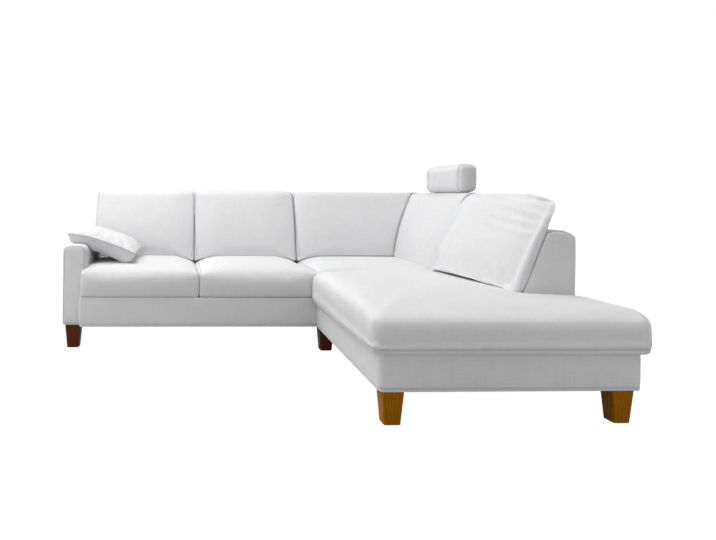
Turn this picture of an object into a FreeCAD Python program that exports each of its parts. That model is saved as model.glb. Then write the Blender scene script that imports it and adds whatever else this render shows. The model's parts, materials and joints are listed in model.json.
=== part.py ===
import FreeCAD, Part
import math
import os

# A corner sofa in two upholstered units on square tapered feet. The seat unit has two seats and
# the left arm. The long unit holds the corner seat and the chaise. A low back runs round the
# rear and the outer side, with taller back cushions before it, a plug-in headrest and two loose
# cushions. Sizes are millimetres, +Z is up. X = 0 is the inner side of the long unit and Y = 0
# the front of the seat unit while the model is built; save() then moves the origin to the
# middle of the footprint on the floor.

V = FreeCAD.Vector

# Plan
SEAT_WIDTH = 653.0
SEAT_COUNT = 2
LEG_DEPTH = 1005.0
CHAISE_REACH = 1147.0
UNIT_GAP = 2.0

# Heights
FOOT_HEIGHT = 128.0
BASE_HEIGHT = 161.0
SEAT_HEIGHT = 151.0
BACK_HEIGHT = 884.0
LOW_BACK_HEIGHT = 713.0

# Base frame and its cover
COVER_THICKNESS = 10.0
RAIL_THICKNESS = 23.0
PLATE_THICKNESS = 3.0
CORNER_RADIUS = 28.0
SEAM_RADIUS = 12.0
BLOCK_SIDE = 60.0
BLOCK_HEIGHT = 60.0
LINING_THICKNESS = 1.5
DECK_THICKNESS = 12.0

# Springs
SPRING_WIRE = 4.0
SPRING_WIDTH = 44.0
SPRING_HALF_WAVE = 52.0
SPRINGS_PER_SEAT = 4
CHAISE_SPRINGS = 6
SPRING_EDGE_MARGIN = 75.0
SPRING_END_LENGTH = 14.0
SPRING_FRONT_SETBACK = 4.0
SPRING_REAR_SETBACK = 8.0
SPRING_RAIL_GAP = 3.0
CLIP_THICKNESS = 2.0
CLIP_WIDTH = 18.0
CLIP_LENGTH = 20.0
FELT_THICKNESS = 3.0

# Seat cushions
SEAT_EDGE_RADIUS = 55.0
SEAT_CROWN = 12.0
SEAT_LEAST_CROWN = 1.0
SEAT_FRONT_BULGE = 8.0
SEAT_LEAST_BULGE = 0.5
SEAT_SEAM_DROP = 26.0
SEAT_SEAM_INSET = 7.0
SEAT_LOWER_RADIUS = 14.0
SEAT_REAR_RISE = 6.0
SEAM_GAP = 1.6
SIDE_OVERHANG = 45.0
END_OVERHANG = 22.0
END_CORNER_RADIUS = 62.0
LIP_DROP = 17.0
LIP_GAP = 0.6
CORNER_EDGE_RADIUS = 24.0
END_STEPS = 4

# Arm
ARM_WIDTH = 128.0
ARM_HEIGHT = 571.0
ARM_SHOULDER = 40.0
ARM_FRONT_RADIUS = 12.0
ARM_LAP = 27.0
ARM_SETBACK = 43.0
ARM_CLEARANCE = 1.0
BOARD_THICKNESS = 18.0
PANEL_THICKNESS = 4.0
LEAST_RADIUS = 2.0

# Low back
BACK_LEAN = 0.406
LOW_BACK_FOOT_DEPTH = 261.0
BACK_FOOT_HEIGHT = 430.0
LOW_BACK_INSET = 12.0
LOW_BACK_COVER = 12.0
LOW_BACK_REAR_DROP = 22.0
LOW_BACK_TOP_FALL = 55.0
LOW_BACK_FRONT_RADIUS = 22.0
LOW_BACK_REAR_RADIUS = 14.0
LOW_BACK_LAP = 68.0
LOW_BACK_END = 770.0
RIB_THICKNESS = 18.0
TOP_RAIL_WIDTH = 30.0
TOP_RAIL_HEIGHT = 45.0
TOP_RAIL_REAR_GAP = 12.0

# Back cushions
BACK_SEAT_RISE = 5.0
BACK_FOOT_THICKNESS = 108.0
BACK_TOP_THICKNESS = 98.0
BACK_CROWN = 36.0
BACK_TOP_RADIUS = 38.0
BACK_REAR_RADIUS = 26.0
BACK_FOOT_RADIUS = 16.0
BACK_SEAM_SIZE = 0.9
BACK_SEAM_ROUND = 60.0
BACK_LAP = 58.0

# Loose back cushion
LOOSE_LENGTH = 765.0
LOOSE_SIDE_GAP = 4.0
LOOSE_CLEARANCE = 1.0
LOOSE_TOP_SAG = 2.0
LOOSE_FOOT_THICKNESS = 140.0
LOOSE_END_SIZE = 0.8
LOOSE_END_ROUND = 85.0
LOOSE_REAR_RADIUS = 50.0

# Headrest
HEADREST_LENGTH = 480.0
HEADREST_HEIGHT = 149.0
HEADREST_THICKNESS = 107.0
HEADREST_RADIUS = 24.0
HEADREST_LOWER_RADIUS = 12.0
HEADREST_BULGE = 4.0
HEADREST_END_SIZE = 0.78
HEADREST_END_STEPS = 3
HEADREST_NEAR_END = 70.0
HEADREST_GAP = 11.0
HEADREST_BOARD = 15.0
HEADREST_BOARD_MARGIN = 40.0
HEADREST_BOARD_FOOT = 25.0
HEADREST_BOARD_HEAD = 28.0
STEM_DIAMETER = 12.0
STEM_SPACING = 300.0
STEM_CLEARANCE = 0.5
STEM_DEPTH = 175.0
STEM_HEAD = 105.0
STEM_SET_IN = 18.0
STEM_BEND = 22.0
SLEEVE_WALL = 2.5
SLEEVE_GAP = 0.5
SLEEVE_LENGTH = 190.0
MOUNT_BOARD_THICKNESS = 18.0
MOUNT_BOARD_REACH = 73.0

# Arm cushion
ARM_CUSHION_LENGTH = 480.0
ARM_CUSHION_WIDTH = 404.0
ARM_CUSHION_THICKNESS = 112.0
ARM_CUSHION_ANGLE = 18.0
ARM_CUSHION_REAR_GAP = 130.0
ARM_CUSHION_REACH = 79.0
ARM_CUSHION_RISE = 21.0
ARM_CUSHION_EAR = 12.0
ARM_CUSHION_CORNER = 34.0

# Flat pieces that stand for an arc where a form is faceted
ARC_PIECES = 3
ROD_SIDES = 16

# Feet
FOOT_TOP = 83.0
FOOT_BOTTOM = 63.0
FOOT_CORNER = 5.0
FOOT_MARGIN = 9.0
FOOT_END_MARGIN = 1.0
FOOT_ARM_SHIFT = 7.0
FOOT_JOINT_SHIFT = 5.0
CHAISE_LEFT_FOOT_SHIFT = 4.0
CHAISE_RIGHT_FOOT_SHIFT = 17.0
GLIDE_HEIGHT = 3.0
GLIDE_MARGIN = 8.0
PLATE_SIDE = 56.0
PLATE_POCKET_GAP = 1.0
BOLT_DIAMETER = 8.0
BOLT_IN_FOOT = 30.0

# Plates that join the two units underneath
JOINING_LENGTH = 110.0
JOINING_WIDTH = 40.0
JOINING_FRONT_SETBACK = 140.0
JOINING_REAR_SETBACK = 145.0

# Profiles: how far along a cushion and how full it is there, from one seam to the other
CROWN_STATIONS = [(0.0, 0.0), (0.03, 0.45), (0.12, 0.8), (0.5, 1.0), (0.88, 0.8), (0.97, 0.45), (1.0, 0.0)]

# How far into a back cushion's rounded seam end, and how much of its full drawing-in is left there
SEAM_PROFILE = [(0.0, 1.0), (0.2, 0.5), (1.0, 0.12)]

# Height over half the arm cushion's thickness, and the size of its outline there
PILLOW_PROFILE = [(0.0, 1.0), (0.3, 0.985), (0.58, 0.93), (0.8, 0.8), (0.93, 0.62), (1.0, 0.34)]

# Sizes worked out from the driving ones
base_top = FOOT_HEIGHT + BASE_HEIGHT
seat_top = base_top + SEAT_HEIGHT
rail_bottom = FOOT_HEIGHT + PLATE_THICKNESS
rail_top = base_top - FELT_THICKNESS - CLIP_THICKNESS - SPRING_WIRE
seats_left = -SEAT_COUNT * SEAT_WIDTH
arm_inner = seats_left + ARM_LAP
arm_outer = arm_inner - ARM_WIDTH
unit_right = -UNIT_GAP / 2
unit_left = UNIT_GAP / 2
near_end = -CHAISE_REACH
inner_face = COVER_THICKNESS
outer_face = LEG_DEPTH - COVER_THICKNESS
back_foot = LEG_DEPTH - LOW_BACK_FOOT_DEPTH
low_back_rear = LEG_DEPTH - LOW_BACK_INSET


def lean_at(z):
    """Depth of the leaning front of the low back at height z."""
    return back_foot + (z - BACK_FOOT_HEIGHT) * BACK_LEAN


back_foot_u = lean_at(base_top)
back_foot_z = seat_top + SEAT_REAR_RISE + BACK_SEAT_RISE
lean_length = math.hypot(BACK_LEAN, 1.0)
spring_rail_u = back_foot_u + SPRING_RAIL_GAP
stem_upright_x = lean_at(BACK_HEIGHT)
headrest_front = stem_upright_x + STEM_SET_IN - HEADREST_THICKNESS
headrest_foot = BACK_HEIGHT + HEADREST_GAP
headrest_far_end = HEADREST_NEAR_END + HEADREST_LENGTH
side_rib_place = headrest_far_end + MOUNT_BOARD_REACH


def box(x0, x1, y0, y1, z0, z1):
    """A box between two corners."""
    return Part.makeBox(x1 - x0, y1 - y0, z1 - z0, V(x0, y0, z0))


origin = V((arm_outer + LEG_DEPTH + SIDE_OVERHANG) / 2, (LEG_DEPTH + near_end - END_OVERHANG) / 2, 0)


def save(name, pieces):
    """Write one node, with the origin moved to the middle of the footprint."""
    shape = pieces[0] if len(pieces) == 1 else Part.Compound(pieces)
    shape = shape.copy()
    shape.translate(-origin)
    shape.exportStep("parts/%s.step" % name)


def rear_leg(s, z, u):
    """A point of the rear leg: along X, depth towards +Y."""
    return V(s, u, z)


def side_leg(s, z, u):
    """A point of the side leg: along Y, depth towards +X."""
    return V(u, s, z)


def outline(place, start, steps):
    """A closed wire from lines (one point) and arcs (two points), each point being (u, z)."""
    edges = []
    here = place(*start)
    for step in steps:
        there = place(*step[-1])
        if len(step) == 1:
            edges.append(Part.LineSegment(here, there).toShape())
        else:
            edges.append(Part.Arc(here, place(*step[0]), there).toShape())
        here = there
    return Part.Wire(edges)


def at_station(leg, s):
    """Places profile points on a plane square to the leg."""
    return lambda u, z: leg(s, z, u)


def towards_lean(leg, start, part):
    """Places profile points on a plane that turns towards the low back of the other leg."""
    return lambda u, z: leg(start + part * (lean_at(z) - start), z, u)


def round_corner(corner, before, after, radius):
    """Start, middle and end of a round corner between two straight sides of an outline."""
    one = V(before[0] - corner[0], before[1] - corner[1], 0).normalize()
    two = V(after[0] - corner[0], after[1] - corner[1], 0).normalize()
    half = one.getAngle(two) / 2
    reach = radius / math.tan(half)
    middle = (one + two).normalize() * (radius / math.sin(half) - radius)
    first = (corner[0] + one.x * reach, corner[1] + one.y * reach)
    last = (corner[0] + two.x * reach, corner[1] + two.y * reach)
    return first, (corner[0] + middle.x, corner[1] + middle.y), last


def rounded_outline(place, corners):
    """A closed wire through corners given as (u, z, radius), a radius of 0 being sharp."""
    stops = []
    for i, (u, z, radius) in enumerate(corners):
        before = corners[i - 1]
        after = corners[(i + 1) % len(corners)]
        if radius > 0:
            stops.append(round_corner((u, z), before, after, radius))
        else:
            stops.append(((u, z),))
    steps = []
    for stop in stops[1:] + stops[:1]:
        steps.append((stop[0],))
        if len(stop) == 3:
            steps.append((stop[1], stop[2]))
    return outline(place, stops[0][-1], steps)


def prism(leg, corners, s0, s1):
    """A straight length of a profile along one leg."""
    face = Part.Face(rounded_outline(at_station(leg, s0), corners))
    return face.extrude(leg(s1, 0, 0) - leg(s0, 0, 0))


def sampled(start, steps, pieces):
    """Points along an outline, each arc being cut into a number of equal pieces."""
    points = [start]
    for step in steps:
        if len(step) == 2:
            arc = Part.Arc(V(*points[-1], 0), V(*step[0], 0), V(*step[1], 0))
            for point in arc.discretize(pieces + 1)[1:-1]:
                points.append((point.x, point.y))
        points.append(step[-1])
    return points[:-1]


def faceted(rings):
    """A closed solid with flat faces through rings of like points."""
    faces = []
    for near, far in zip(rings, rings[1:]):
        for i in range(len(near)):
            quad = [near[i - 1], near[i], far[i], far[i - 1]]
            faces.append(Part.Face(Part.makePolygon(quad + quad[:1])))
    for ring in (rings[0], rings[-1]):
        faces.append(Part.Face(Part.makePolygon(ring + ring[:1])))
    solid = Part.Solid(Part.Shell(faces))
    if solid.Volume < 0:
        solid.reverse()
    return solid


def loft(wires):
    """A closed solid with ruled sides through wires of like edges."""
    solid = Part.makeLoft(wires, True, True)
    if solid.Volume < 0:
        solid.reverse()
    return solid


def mitre_half(leg):
    """The half of the corner that belongs to one leg, cut along the diagonal."""
    far = LEG_DEPTH * 2
    points = [leg(-far, 0, -far), leg(far, 0, far), leg(-far, 0, far), leg(-far, 0, -far)]
    return Part.Face(Part.makePolygon(points)).extrude(V(0, 0, LEG_DEPTH * 2))


def arm_space():
    """The room that the arm takes, with its clearance, to cut what laps over it."""
    gap = ARM_CLEARANCE
    beyond = LEG_DEPTH * 2
    return box(arm_outer - ARM_WIDTH, arm_inner + gap, ARM_SETBACK - gap, beyond, -gap, ARM_HEIGHT + gap)


# Base frames

def frame_rails():
    """The rails of both units, each butted against its neighbour."""
    t = RAIL_THICKNESS
    right = unit_right - COVER_THICKNESS
    left = arm_inner + COVER_THICKNESS
    middle = (left + right) / 2
    front = inner_face
    rear = outer_face
    z0, z1 = rail_bottom, rail_top
    rails = {
        "seat_front_rail": box(seats_left + COVER_THICKNESS, right, front, front + t, z0, z1),
        "seat_rear_rail": box(left, right, rear - t, rear, z0, z1),
        "seat_left_rail": box(left, left + t, front + t, rear - t, z0, z1),
        "seat_right_rail": box(right - t, right, front + t, rear - t, z0, z1),
        "seat_spring_rail": box(left + t, right - t, spring_rail_u, spring_rail_u + t, z0, z1),
        "seat_centre_rail": box(middle - t / 2, middle + t / 2, front + t, spring_rail_u, z0, z1),
    }
    left = unit_left + COVER_THICKNESS
    near = near_end + COVER_THICKNESS
    rails["long_inner_rail"] = box(left, left + t, near + t, rear - t, z0, z1)
    rails["long_outer_rail"] = box(rear - t, rear, near + t, rear - t, z0, z1)
    rails["chaise_end_rail"] = box(left, rear, near, near + t, z0, z1)
    rails["corner_rear_rail"] = box(left, rear, rear - t, rear, z0, z1)
    rails["long_spring_rail"] = box(spring_rail_u, spring_rail_u + t, near + t, rear - t, z0, z1)
    rails["corner_spring_rail"] = box(left + t, spring_rail_u, spring_rail_u, spring_rail_u + t, z0, z1)
    rails["corner_cross_rail"] = box(left + t, spring_rail_u, -t / 2, t / 2, z0, z1)
    return rails


def foot_centres():
    """Name, X and Y of each foot."""
    half = FOOT_TOP / 2
    inner = FOOT_MARGIN + half
    outer = LEG_DEPTH - inner
    arm_x = (arm_inner + arm_outer) / 2 - FOOT_ARM_SHIFT
    near = near_end + FOOT_END_MARGIN + half
    rear = LEG_DEPTH - inner
    return [
        ("left_front_foot", arm_x, ARM_SETBACK + inner),
        ("left_rear_foot", arm_x, rear),
        ("middle_rear_foot", -inner - FOOT_MARGIN, rear),
        ("inner_corner_foot", inner, FOOT_JOINT_SHIFT),
        ("outer_middle_foot", outer, FOOT_JOINT_SHIFT),
        ("right_rear_foot", outer, rear),
        ("chaise_left_foot", inner + CHAISE_LEFT_FOOT_SHIFT, near),
        ("chaise_right_foot", outer - CHAISE_RIGHT_FOOT_SHIFT, near),
    ]


def softened_square(x, y, z, side, corner):
    """Points of a square with its corners cut back a little, about a centre."""
    h = side / 2
    k = h - corner
    points = [(-k, -h), (k, -h), (h, -k), (h, k), (k, h), (-k, h), (-h, k), (-h, -k)]
    return [V(x + a, y + b, z) for a, b in points]


def stud(x, y, z0, z1):
    """A short eight-sided stud, standing for a round bolt of the same width."""
    cut = BOLT_DIAMETER / 2 * (1 - math.tan(math.pi / 8))
    return faceted([softened_square(x, y, z, BOLT_DIAMETER, cut) for z in (z0, z1)])


def foot_bolt(x, y):
    """The bolt that screws a foot into its plate."""
    return stud(x, y, FOOT_HEIGHT - BOLT_IN_FOOT, rail_bottom)


def foot(x, y):
    """A square tapered wooden foot with the pilot hole of its bolt."""
    body = faceted([softened_square(x, y, GLIDE_HEIGHT, FOOT_BOTTOM, FOOT_CORNER),
                    softened_square(x, y, FOOT_HEIGHT, FOOT_TOP, FOOT_CORNER)])
    return body.cut(foot_bolt(x, y))


def foot_plate(x, y):
    """A square steel plate let in under the frame over each foot."""
    h = PLATE_SIDE / 2
    plate = box(x - h, x + h, y - h, y + h, FOOT_HEIGHT, rail_bottom)
    return plate.cut(foot_bolt(x, y))


def foot_block(x, y, rails):
    """A block beside the rails, which takes the foot's bolt."""
    h = BLOCK_SIDE / 2
    block = box(x - h, x + h, y - h, y + h, rail_bottom, rail_bottom + BLOCK_HEIGHT)
    for rail in rails:
        block = block.cut(rail)
    return max(block.Solids, key=lambda solid: solid.Volume)


def build_base():
    """Rails, blocks, feet, plates, bolts and glides."""
    rails = frame_rails()
    for name, rail in rails.items():
        save(name, [rail])
    centres = foot_centres()
    blocks = []
    hidden = []
    glides = []
    for name, x, y in centres:
        if x > arm_inner:
            blocks.append(foot_block(x, y, list(rails.values())))
        if name.endswith("rear_foot") or name == "outer_middle_foot":
            hidden.append(foot(x, y))
        else:
            save(name, [foot(x, y)])
        h = FOOT_BOTTOM / 2 - GLIDE_MARGIN
        glides.append(box(x - h, x + h, y - h, y + h, 0, GLIDE_HEIGHT))
    save("foot_blocks", blocks)
    save("arm_foot_rail", [arm_base_block()])
    save("rear_feet", hidden)
    save("foot_glides", glides)
    save("foot_bolts", [foot_bolt(x, y) for name, x, y in centres])
    save("foot_plates", [foot_plate(x, y) for name, x, y in centres])


# Base covers and linings

def seat_base_outline(inset):
    """Plan of the seat unit's base, with the lap in front of the arm, drawn in by an inset."""
    right = unit_right - inset
    rear = LEG_DEPTH - inset
    lap = seats_left + inset
    inner = arm_inner + inset
    step = ARM_SETBACK - inset
    return [(lap, inset), (right, inset), (right, rear), (inner, rear), (inner, step), (lap, step)]


def long_base_outline(inset):
    """Plan of the long unit's base, drawn in by an inset."""
    left = unit_left + inset
    right = LEG_DEPTH - inset
    near = near_end + inset
    rear = LEG_DEPTH - inset
    return [(left, near), (right, near), (right, rear), (left, rear)]


def plan_prism(points, radii, z0, z1):
    """A prism on a plan outline with a radius at each corner."""
    corners = [(x, y, radius) for (x, y), radius in zip(points, radii)]
    wire = rounded_outline(lambda a, b: V(a, b, z0), corners)
    return Part.Face(wire).extrude(V(0, 0, z1 - z0))


def plate_pockets():
    """Room for the plates over the feet."""
    h = PLATE_SIDE / 2 + PLATE_POCKET_GAP
    pockets = []
    for name, x, y in foot_centres():
        pockets.append(box(x - h, x + h, y - h, y + h, FOOT_HEIGHT, rail_bottom + LINING_THICKNESS))
    return Part.Compound(pockets)


def build_base_covers():
    """The padded covers round the bases, the linings under them and the felt over the springs."""
    seat_radii = [SEAM_RADIUS, 0, 0, 0, 0, 0]
    seat_outer = plan_prism(seat_base_outline(0), seat_radii, FOOT_HEIGHT, base_top)
    seat_inner = plan_prism(seat_base_outline(COVER_THICKNESS), [0] * 6, FOOT_HEIGHT - 1, base_top + 1)
    save("seat_base_cover", [seat_outer.cut(seat_inner)])
    long_radii = [CORNER_RADIUS, CORNER_RADIUS, SEAM_RADIUS, 0]
    long_outer = plan_prism(long_base_outline(0), long_radii, FOOT_HEIGHT, base_top)
    long_inner = plan_prism(long_base_outline(COVER_THICKNESS), [0] * 4, FOOT_HEIGHT - 1, base_top + 1)
    save("long_base_cover", [long_outer.cut(long_inner)])
    pockets = plate_pockets()
    linings = []
    for points in (seat_base_outline(COVER_THICKNESS), long_base_outline(COVER_THICKNESS)):
        sheet = plan_prism(points, [0] * len(points), rail_bottom - LINING_THICKNESS, rail_bottom)
        linings.append(sheet.cut(pockets))
    save("under_linings", linings)
    z0, z1 = base_top - FELT_THICKNESS, base_top
    rear = lean_at(z0) + LOW_BACK_COVER * lean_length
    left = unit_left + COVER_THICKNESS
    near = near_end + COVER_THICKNESS
    long_felt = box(left, rear, near, rear, z0, z1)
    beyond = -LOW_BACK_END - LOW_BACK_COVER
    long_felt = long_felt.fuse(box(rear, outer_face, near, beyond, z0, z1)).removeSplitter()
    seat_felt = box(arm_inner + COVER_THICKNESS, unit_right - COVER_THICKNESS, inner_face, rear, z0, z1)
    save("spring_felts", [seat_felt, long_felt])
    deck_x0 = spring_rail_u + RAIL_THICKNESS
    deck_x1 = outer_face - RAIL_THICKNESS
    deck = box(deck_x0, deck_x1, near + RAIL_THICKNESS, beyond, rail_top - DECK_THICKNESS, rail_top)
    save("chaise_deck_board", [deck])


# Springs

def zigzag(leg, s, u0, u1):
    """A flat zigzag seat spring that lies along the depth of one leg, centred on s."""
    z = rail_top
    run = u1 - u0 - 2 * SPRING_END_LENGTH
    count = max(2, 2 * round(run / SPRING_HALF_WAVE / 2))
    half_wave = run / count
    swing = SPRING_WIDTH / 2
    path = [(u0, s), (u0 + SPRING_END_LENGTH, s)]
    for i in range(count):
        side = swing if i % 2 == 0 else -swing
        path.append((u0 + SPRING_END_LENGTH + (i + 0.5) * half_wave, s + side))
    path += [(u1 - SPRING_END_LENGTH, s), (u1, s)]
    left = []
    right = []
    for i, (u, v) in enumerate(path):
        before = path[max(i - 1, 0)]
        after = path[min(i + 1, len(path) - 1)]
        a = V(u - before[0], v - before[1], 0)
        b = V(after[0] - u, after[1] - v, 0)
        if a.Length == 0:
            a = b
        if b.Length == 0:
            b = a
        a.normalize()
        b.normalize()
        normal = V(-a.y - b.y, a.x + b.x, 0).normalize()
        reach = SPRING_WIRE / 2 / normal.dot(V(-a.y, a.x, 0))
        left.append((u + normal.x * reach, v + normal.y * reach))
        right.append((u - normal.x * reach, v - normal.y * reach))
    points = [leg(v, z, u) for u, v in left + right[::-1]]
    return Part.Face(Part.makePolygon(points + points[:1])).extrude(V(0, 0, SPRING_WIRE))


def clip(leg, s, u, way):
    """A clip over a spring's end, hooked down to the rail behind it."""
    half = CLIP_WIDTH / 2
    tail = u - way * CLIP_THICKNESS
    corners = [leg(s - half, rail_top, min(u, tail)), leg(s + half, rail_top + SPRING_WIRE, max(u, tail))]
    hook = span_box(*corners)
    top = span_box(leg(s - half, rail_top + SPRING_WIRE, min(tail, u + way * CLIP_LENGTH)),
                   leg(s + half, rail_top + SPRING_WIRE + CLIP_THICKNESS, max(tail, u + way * CLIP_LENGTH)))
    return hook.fuse(top).removeSplitter()


def span_box(a, b):
    """A box between any two opposite corners."""
    return box(min(a.x, b.x), max(a.x, b.x), min(a.y, b.y), max(a.y, b.y), min(a.z, b.z), max(a.z, b.z))


def build_springs():
    """Zigzag springs under each seat, with the clips that hold their ends."""
    front = inner_face + SPRING_FRONT_SETBACK
    rear = spring_rail_u + RAIL_THICKNESS - SPRING_REAR_SETBACK
    cross = -RAIL_THICKNESS / 2 + SPRING_FRONT_SETBACK
    left = arm_inner + COVER_THICKNESS + RAIL_THICKNESS
    centre = (arm_inner + unit_right) / 2
    right = unit_right - COVER_THICKNESS - RAIL_THICKNESS
    corner_left = unit_left + COVER_THICKNESS + RAIL_THICKNESS
    runs = [
        ("seat_springs", rear_leg, left, centre, SPRINGS_PER_SEAT, front, rear),
        ("seat_springs", rear_leg, centre, right, SPRINGS_PER_SEAT, front, rear),
        ("corner_seat_springs", rear_leg, corner_left, spring_rail_u, SPRINGS_PER_SEAT, cross, rear),
        ("chaise_seat_springs", side_leg, near_end + COVER_THICKNESS + RAIL_THICKNESS, 0.0, CHAISE_SPRINGS,
         front + unit_left, rear),
    ]
    clips = []
    springs = {}
    for name, leg, s0, s1, count, u0, u1 in runs:
        step = (s1 - s0 - 2 * SPRING_EDGE_MARGIN) / (count - 1)
        places = [s0 + SPRING_EDGE_MARGIN + i * step for i in range(count)]
        for s in places:
            springs.setdefault(name, []).append(zigzag(leg, s, u0, u1))
            clips.append(clip(leg, s, u0, 1))
            clips.append(clip(leg, s, u1, -1))
    for name, group in springs.items():
        save(name, group)
    save("spring_clips", clips)


# Seat cushions

def seat_section(place, front, bottom, radius, e):
    """Section of a seat cushion, from its seams (e = 0) to its middle (e = 1)."""
    u0 = front + SEAT_SEAM_INSET * (1 - e)
    top = seat_top - SEAT_SEAM_DROP * (1 - e)
    crown = SEAT_CROWN * e + SEAT_LEAST_CROWN
    rear_top = top + SEAT_REAR_RISE * e
    rear_u = lean_at(rear_top)
    foot_u = lean_at(bottom)
    low = SEAT_LOWER_RADIUS
    turn = 1 - math.sqrt(0.5)
    bulge = SEAT_FRONT_BULGE * e + SEAT_LEAST_BULGE
    middle = (bottom + low + top - radius) / 2
    steps = [
        ((u0 + low, bottom),),
        ((u0 + low * turn, bottom + low * turn), (u0, bottom + low)),
        ((u0 - bulge, middle), (u0, top - radius)),
        ((u0 + radius * turn, top - radius * turn), (u0 + radius, top)),
        (((u0 + radius + rear_u) / 2, (top + rear_top) / 2 + crown), (rear_u, rear_top)),
        ((foot_u, bottom),),
    ]
    return outline(place, (foot_u, bottom), steps)


def seat_cushion(leg, s0, s1, front, radius):
    """A crowned seat cushion between two seams, or one seam and the leaning low back."""
    wires = []
    for part, e in CROWN_STATIONS:
        if s1 is None:
            place = towards_lean(leg, s0, part)
        else:
            place = at_station(leg, s0 + part * (s1 - s0))
        wires.append(seat_section(place, front, base_top, radius, e))
    return loft(wires)


def end_section(y, inset, drop):
    """Section across the open end of the chaise, rounded on both sides."""
    x0 = -SIDE_OVERHANG + inset
    x1 = LEG_DEPTH + SIDE_OVERHANG - inset
    top = seat_top - drop
    bottom = base_top - LIP_DROP
    radius = SEAT_EDGE_RADIUS
    low = SEAT_LOWER_RADIUS
    turn = 1 - math.sqrt(0.5)
    bulge = SEAT_FRONT_BULGE
    middle = (bottom + low + top - radius) / 2
    crown = SEAT_CROWN + SEAT_LEAST_CROWN
    place = at_station(side_leg, y)
    steps = [
        ((x0 + low, bottom),),
        ((x0 + low * turn, bottom + low * turn), (x0, bottom + low)),
        ((x0 - bulge, middle), (x0, top - radius)),
        ((x0 + radius * turn, top - radius * turn), (x0 + radius, top)),
        (((x0 + x1) / 2, top + crown), (x1 - radius, top)),
        ((x1 - radius * turn, top - radius * turn), (x1, top - radius)),
        ((x1 + bulge, middle), (x1, bottom + low)),
        ((x1 - low * turn, bottom + low * turn), (x1 - low, bottom)),
    ]
    return outline(place, (x1 - low, bottom), steps)


def chaise_seat():
    """The chaise seat: full width past the low back, narrow beside it, with a lip over the base."""
    y0 = near_end - END_OVERHANG
    y1 = -LOW_BACK_END - SEAM_GAP
    wires = [end_section(y1, 0, 0)]
    for i in range(END_STEPS + 1):
        angle = i * math.pi / 2 / END_STEPS
        y = y0 + END_CORNER_RADIUS * (1 - math.sin(angle))
        fall = 1 - math.cos(angle)
        wires.append(end_section(y, END_CORNER_RADIUS * fall, SEAT_EDGE_RADIUS * fall))
    wide = loft(wires)
    narrow_wires = []
    for part, e in CROWN_STATIONS[3:]:
        y = y1 + (part - 0.5) * 2 * (-SEAM_GAP / 2 - y1)
        narrow_wires.append(seat_section(at_station(side_leg, y), -SIDE_OVERHANG, base_top - LIP_DROP,
                                         SEAT_EDGE_RADIUS, e))
    narrow = loft(narrow_wires)
    seat = wide.fuse(narrow)
    gap = LIP_GAP
    base = box(-gap, LEG_DEPTH + gap, near_end - gap, LEG_DEPTH, 0, base_top)
    seat = seat.cut(base)
    beside = box(-SEAT_WIDTH, 0, -SEAT_FRONT_BULGE - SEAM_GAP * 2, LEG_DEPTH, 0, LEG_DEPTH)
    seat = seat.cut(beside)
    low = low_back_block(side_leg, -LOW_BACK_END - SEAM_GAP / 2, LEG_DEPTH)
    seat = seat.cut(low)
    return max(seat.Solids, key=lambda solid: solid.Volume)


def build_seats():
    """Two seat cushions, the corner cushion and the chaise cushion."""
    gap = SEAM_GAP / 2
    names = ["left_seat_cushion", "right_seat_cushion"]
    for i, name in enumerate(names):
        s0 = seats_left + i * SEAT_WIDTH
        s1 = s0 + SEAT_WIDTH
        cushion = seat_cushion(rear_leg, s0 if i == 0 else s0 + gap, s1 - gap, 0.0, SEAT_EDGE_RADIUS)
        if i == 0:
            cushion = cushion.cut(arm_space())
        save(name, [cushion])
    corner_front = gap + SEAT_FRONT_BULGE + SEAT_LEAST_BULGE
    save("corner_seat_cushion", [seat_cushion(rear_leg, gap, None, corner_front, CORNER_EDGE_RADIUS)])
    save("chaise_seat_cushion", [chaise_seat()])


# Low back

def low_back_corners(inset, bottom):
    """Outline of the low back, drawn in by an inset."""
    shift = inset * lean_length
    top = LOW_BACK_HEIGHT - inset
    rear = low_back_rear - inset
    rear_top = top - LOW_BACK_REAR_DROP
    front_radius = max(LOW_BACK_FRONT_RADIUS - inset, LEAST_RADIUS)
    rear_radius = max(LOW_BACK_REAR_RADIUS - inset, LEAST_RADIUS)
    return [
        (lean_at(bottom) + shift, bottom, 0),
        (lean_at(top) + shift, top, front_radius),
        (rear - LOW_BACK_TOP_FALL, top, 0),
        (rear, rear_top, rear_radius),
        (rear, bottom, 0),
    ]


def low_back_block(leg, s0, s1):
    """The low back's outer form, carried down through the base."""
    return prism(leg, low_back_corners(0.0, rail_bottom), s0, s1)


def low_back_cover(leg, s0, s1, mitred):
    """A padded cover over the ribs, open below, with closed ends, mitred at the corner or not."""
    cavity_end = s1 if mitred else s1 - LOW_BACK_COVER
    outer = prism(leg, low_back_corners(0.0, base_top), s0, s1)
    cavity = prism(leg, low_back_corners(LOW_BACK_COVER, rail_top), s0 + LOW_BACK_COVER, cavity_end)
    shell = outer.cut(cavity)
    if mitred:
        shell = shell.common(mitre_half(leg))
    return shell


def rib(leg, s):
    """A ply rib that carries the low back, notched for the top rail."""
    plate = prism(leg, low_back_corners(LOW_BACK_COVER, rail_top), s, s + RIB_THICKNESS)
    return plate.cut(top_rail(leg, s - 1, s + RIB_THICKNESS + 1))


def top_rail(leg, s0, s1):
    """The rail let into the tops of the ribs."""
    top = LOW_BACK_HEIGHT - LOW_BACK_COVER - LOW_BACK_REAR_DROP
    rear = low_back_rear - LOW_BACK_COVER - TOP_RAIL_REAR_GAP
    return span_box(leg(s0, top - TOP_RAIL_HEIGHT, rear - TOP_RAIL_WIDTH), leg(s1, top, rear))


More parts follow.
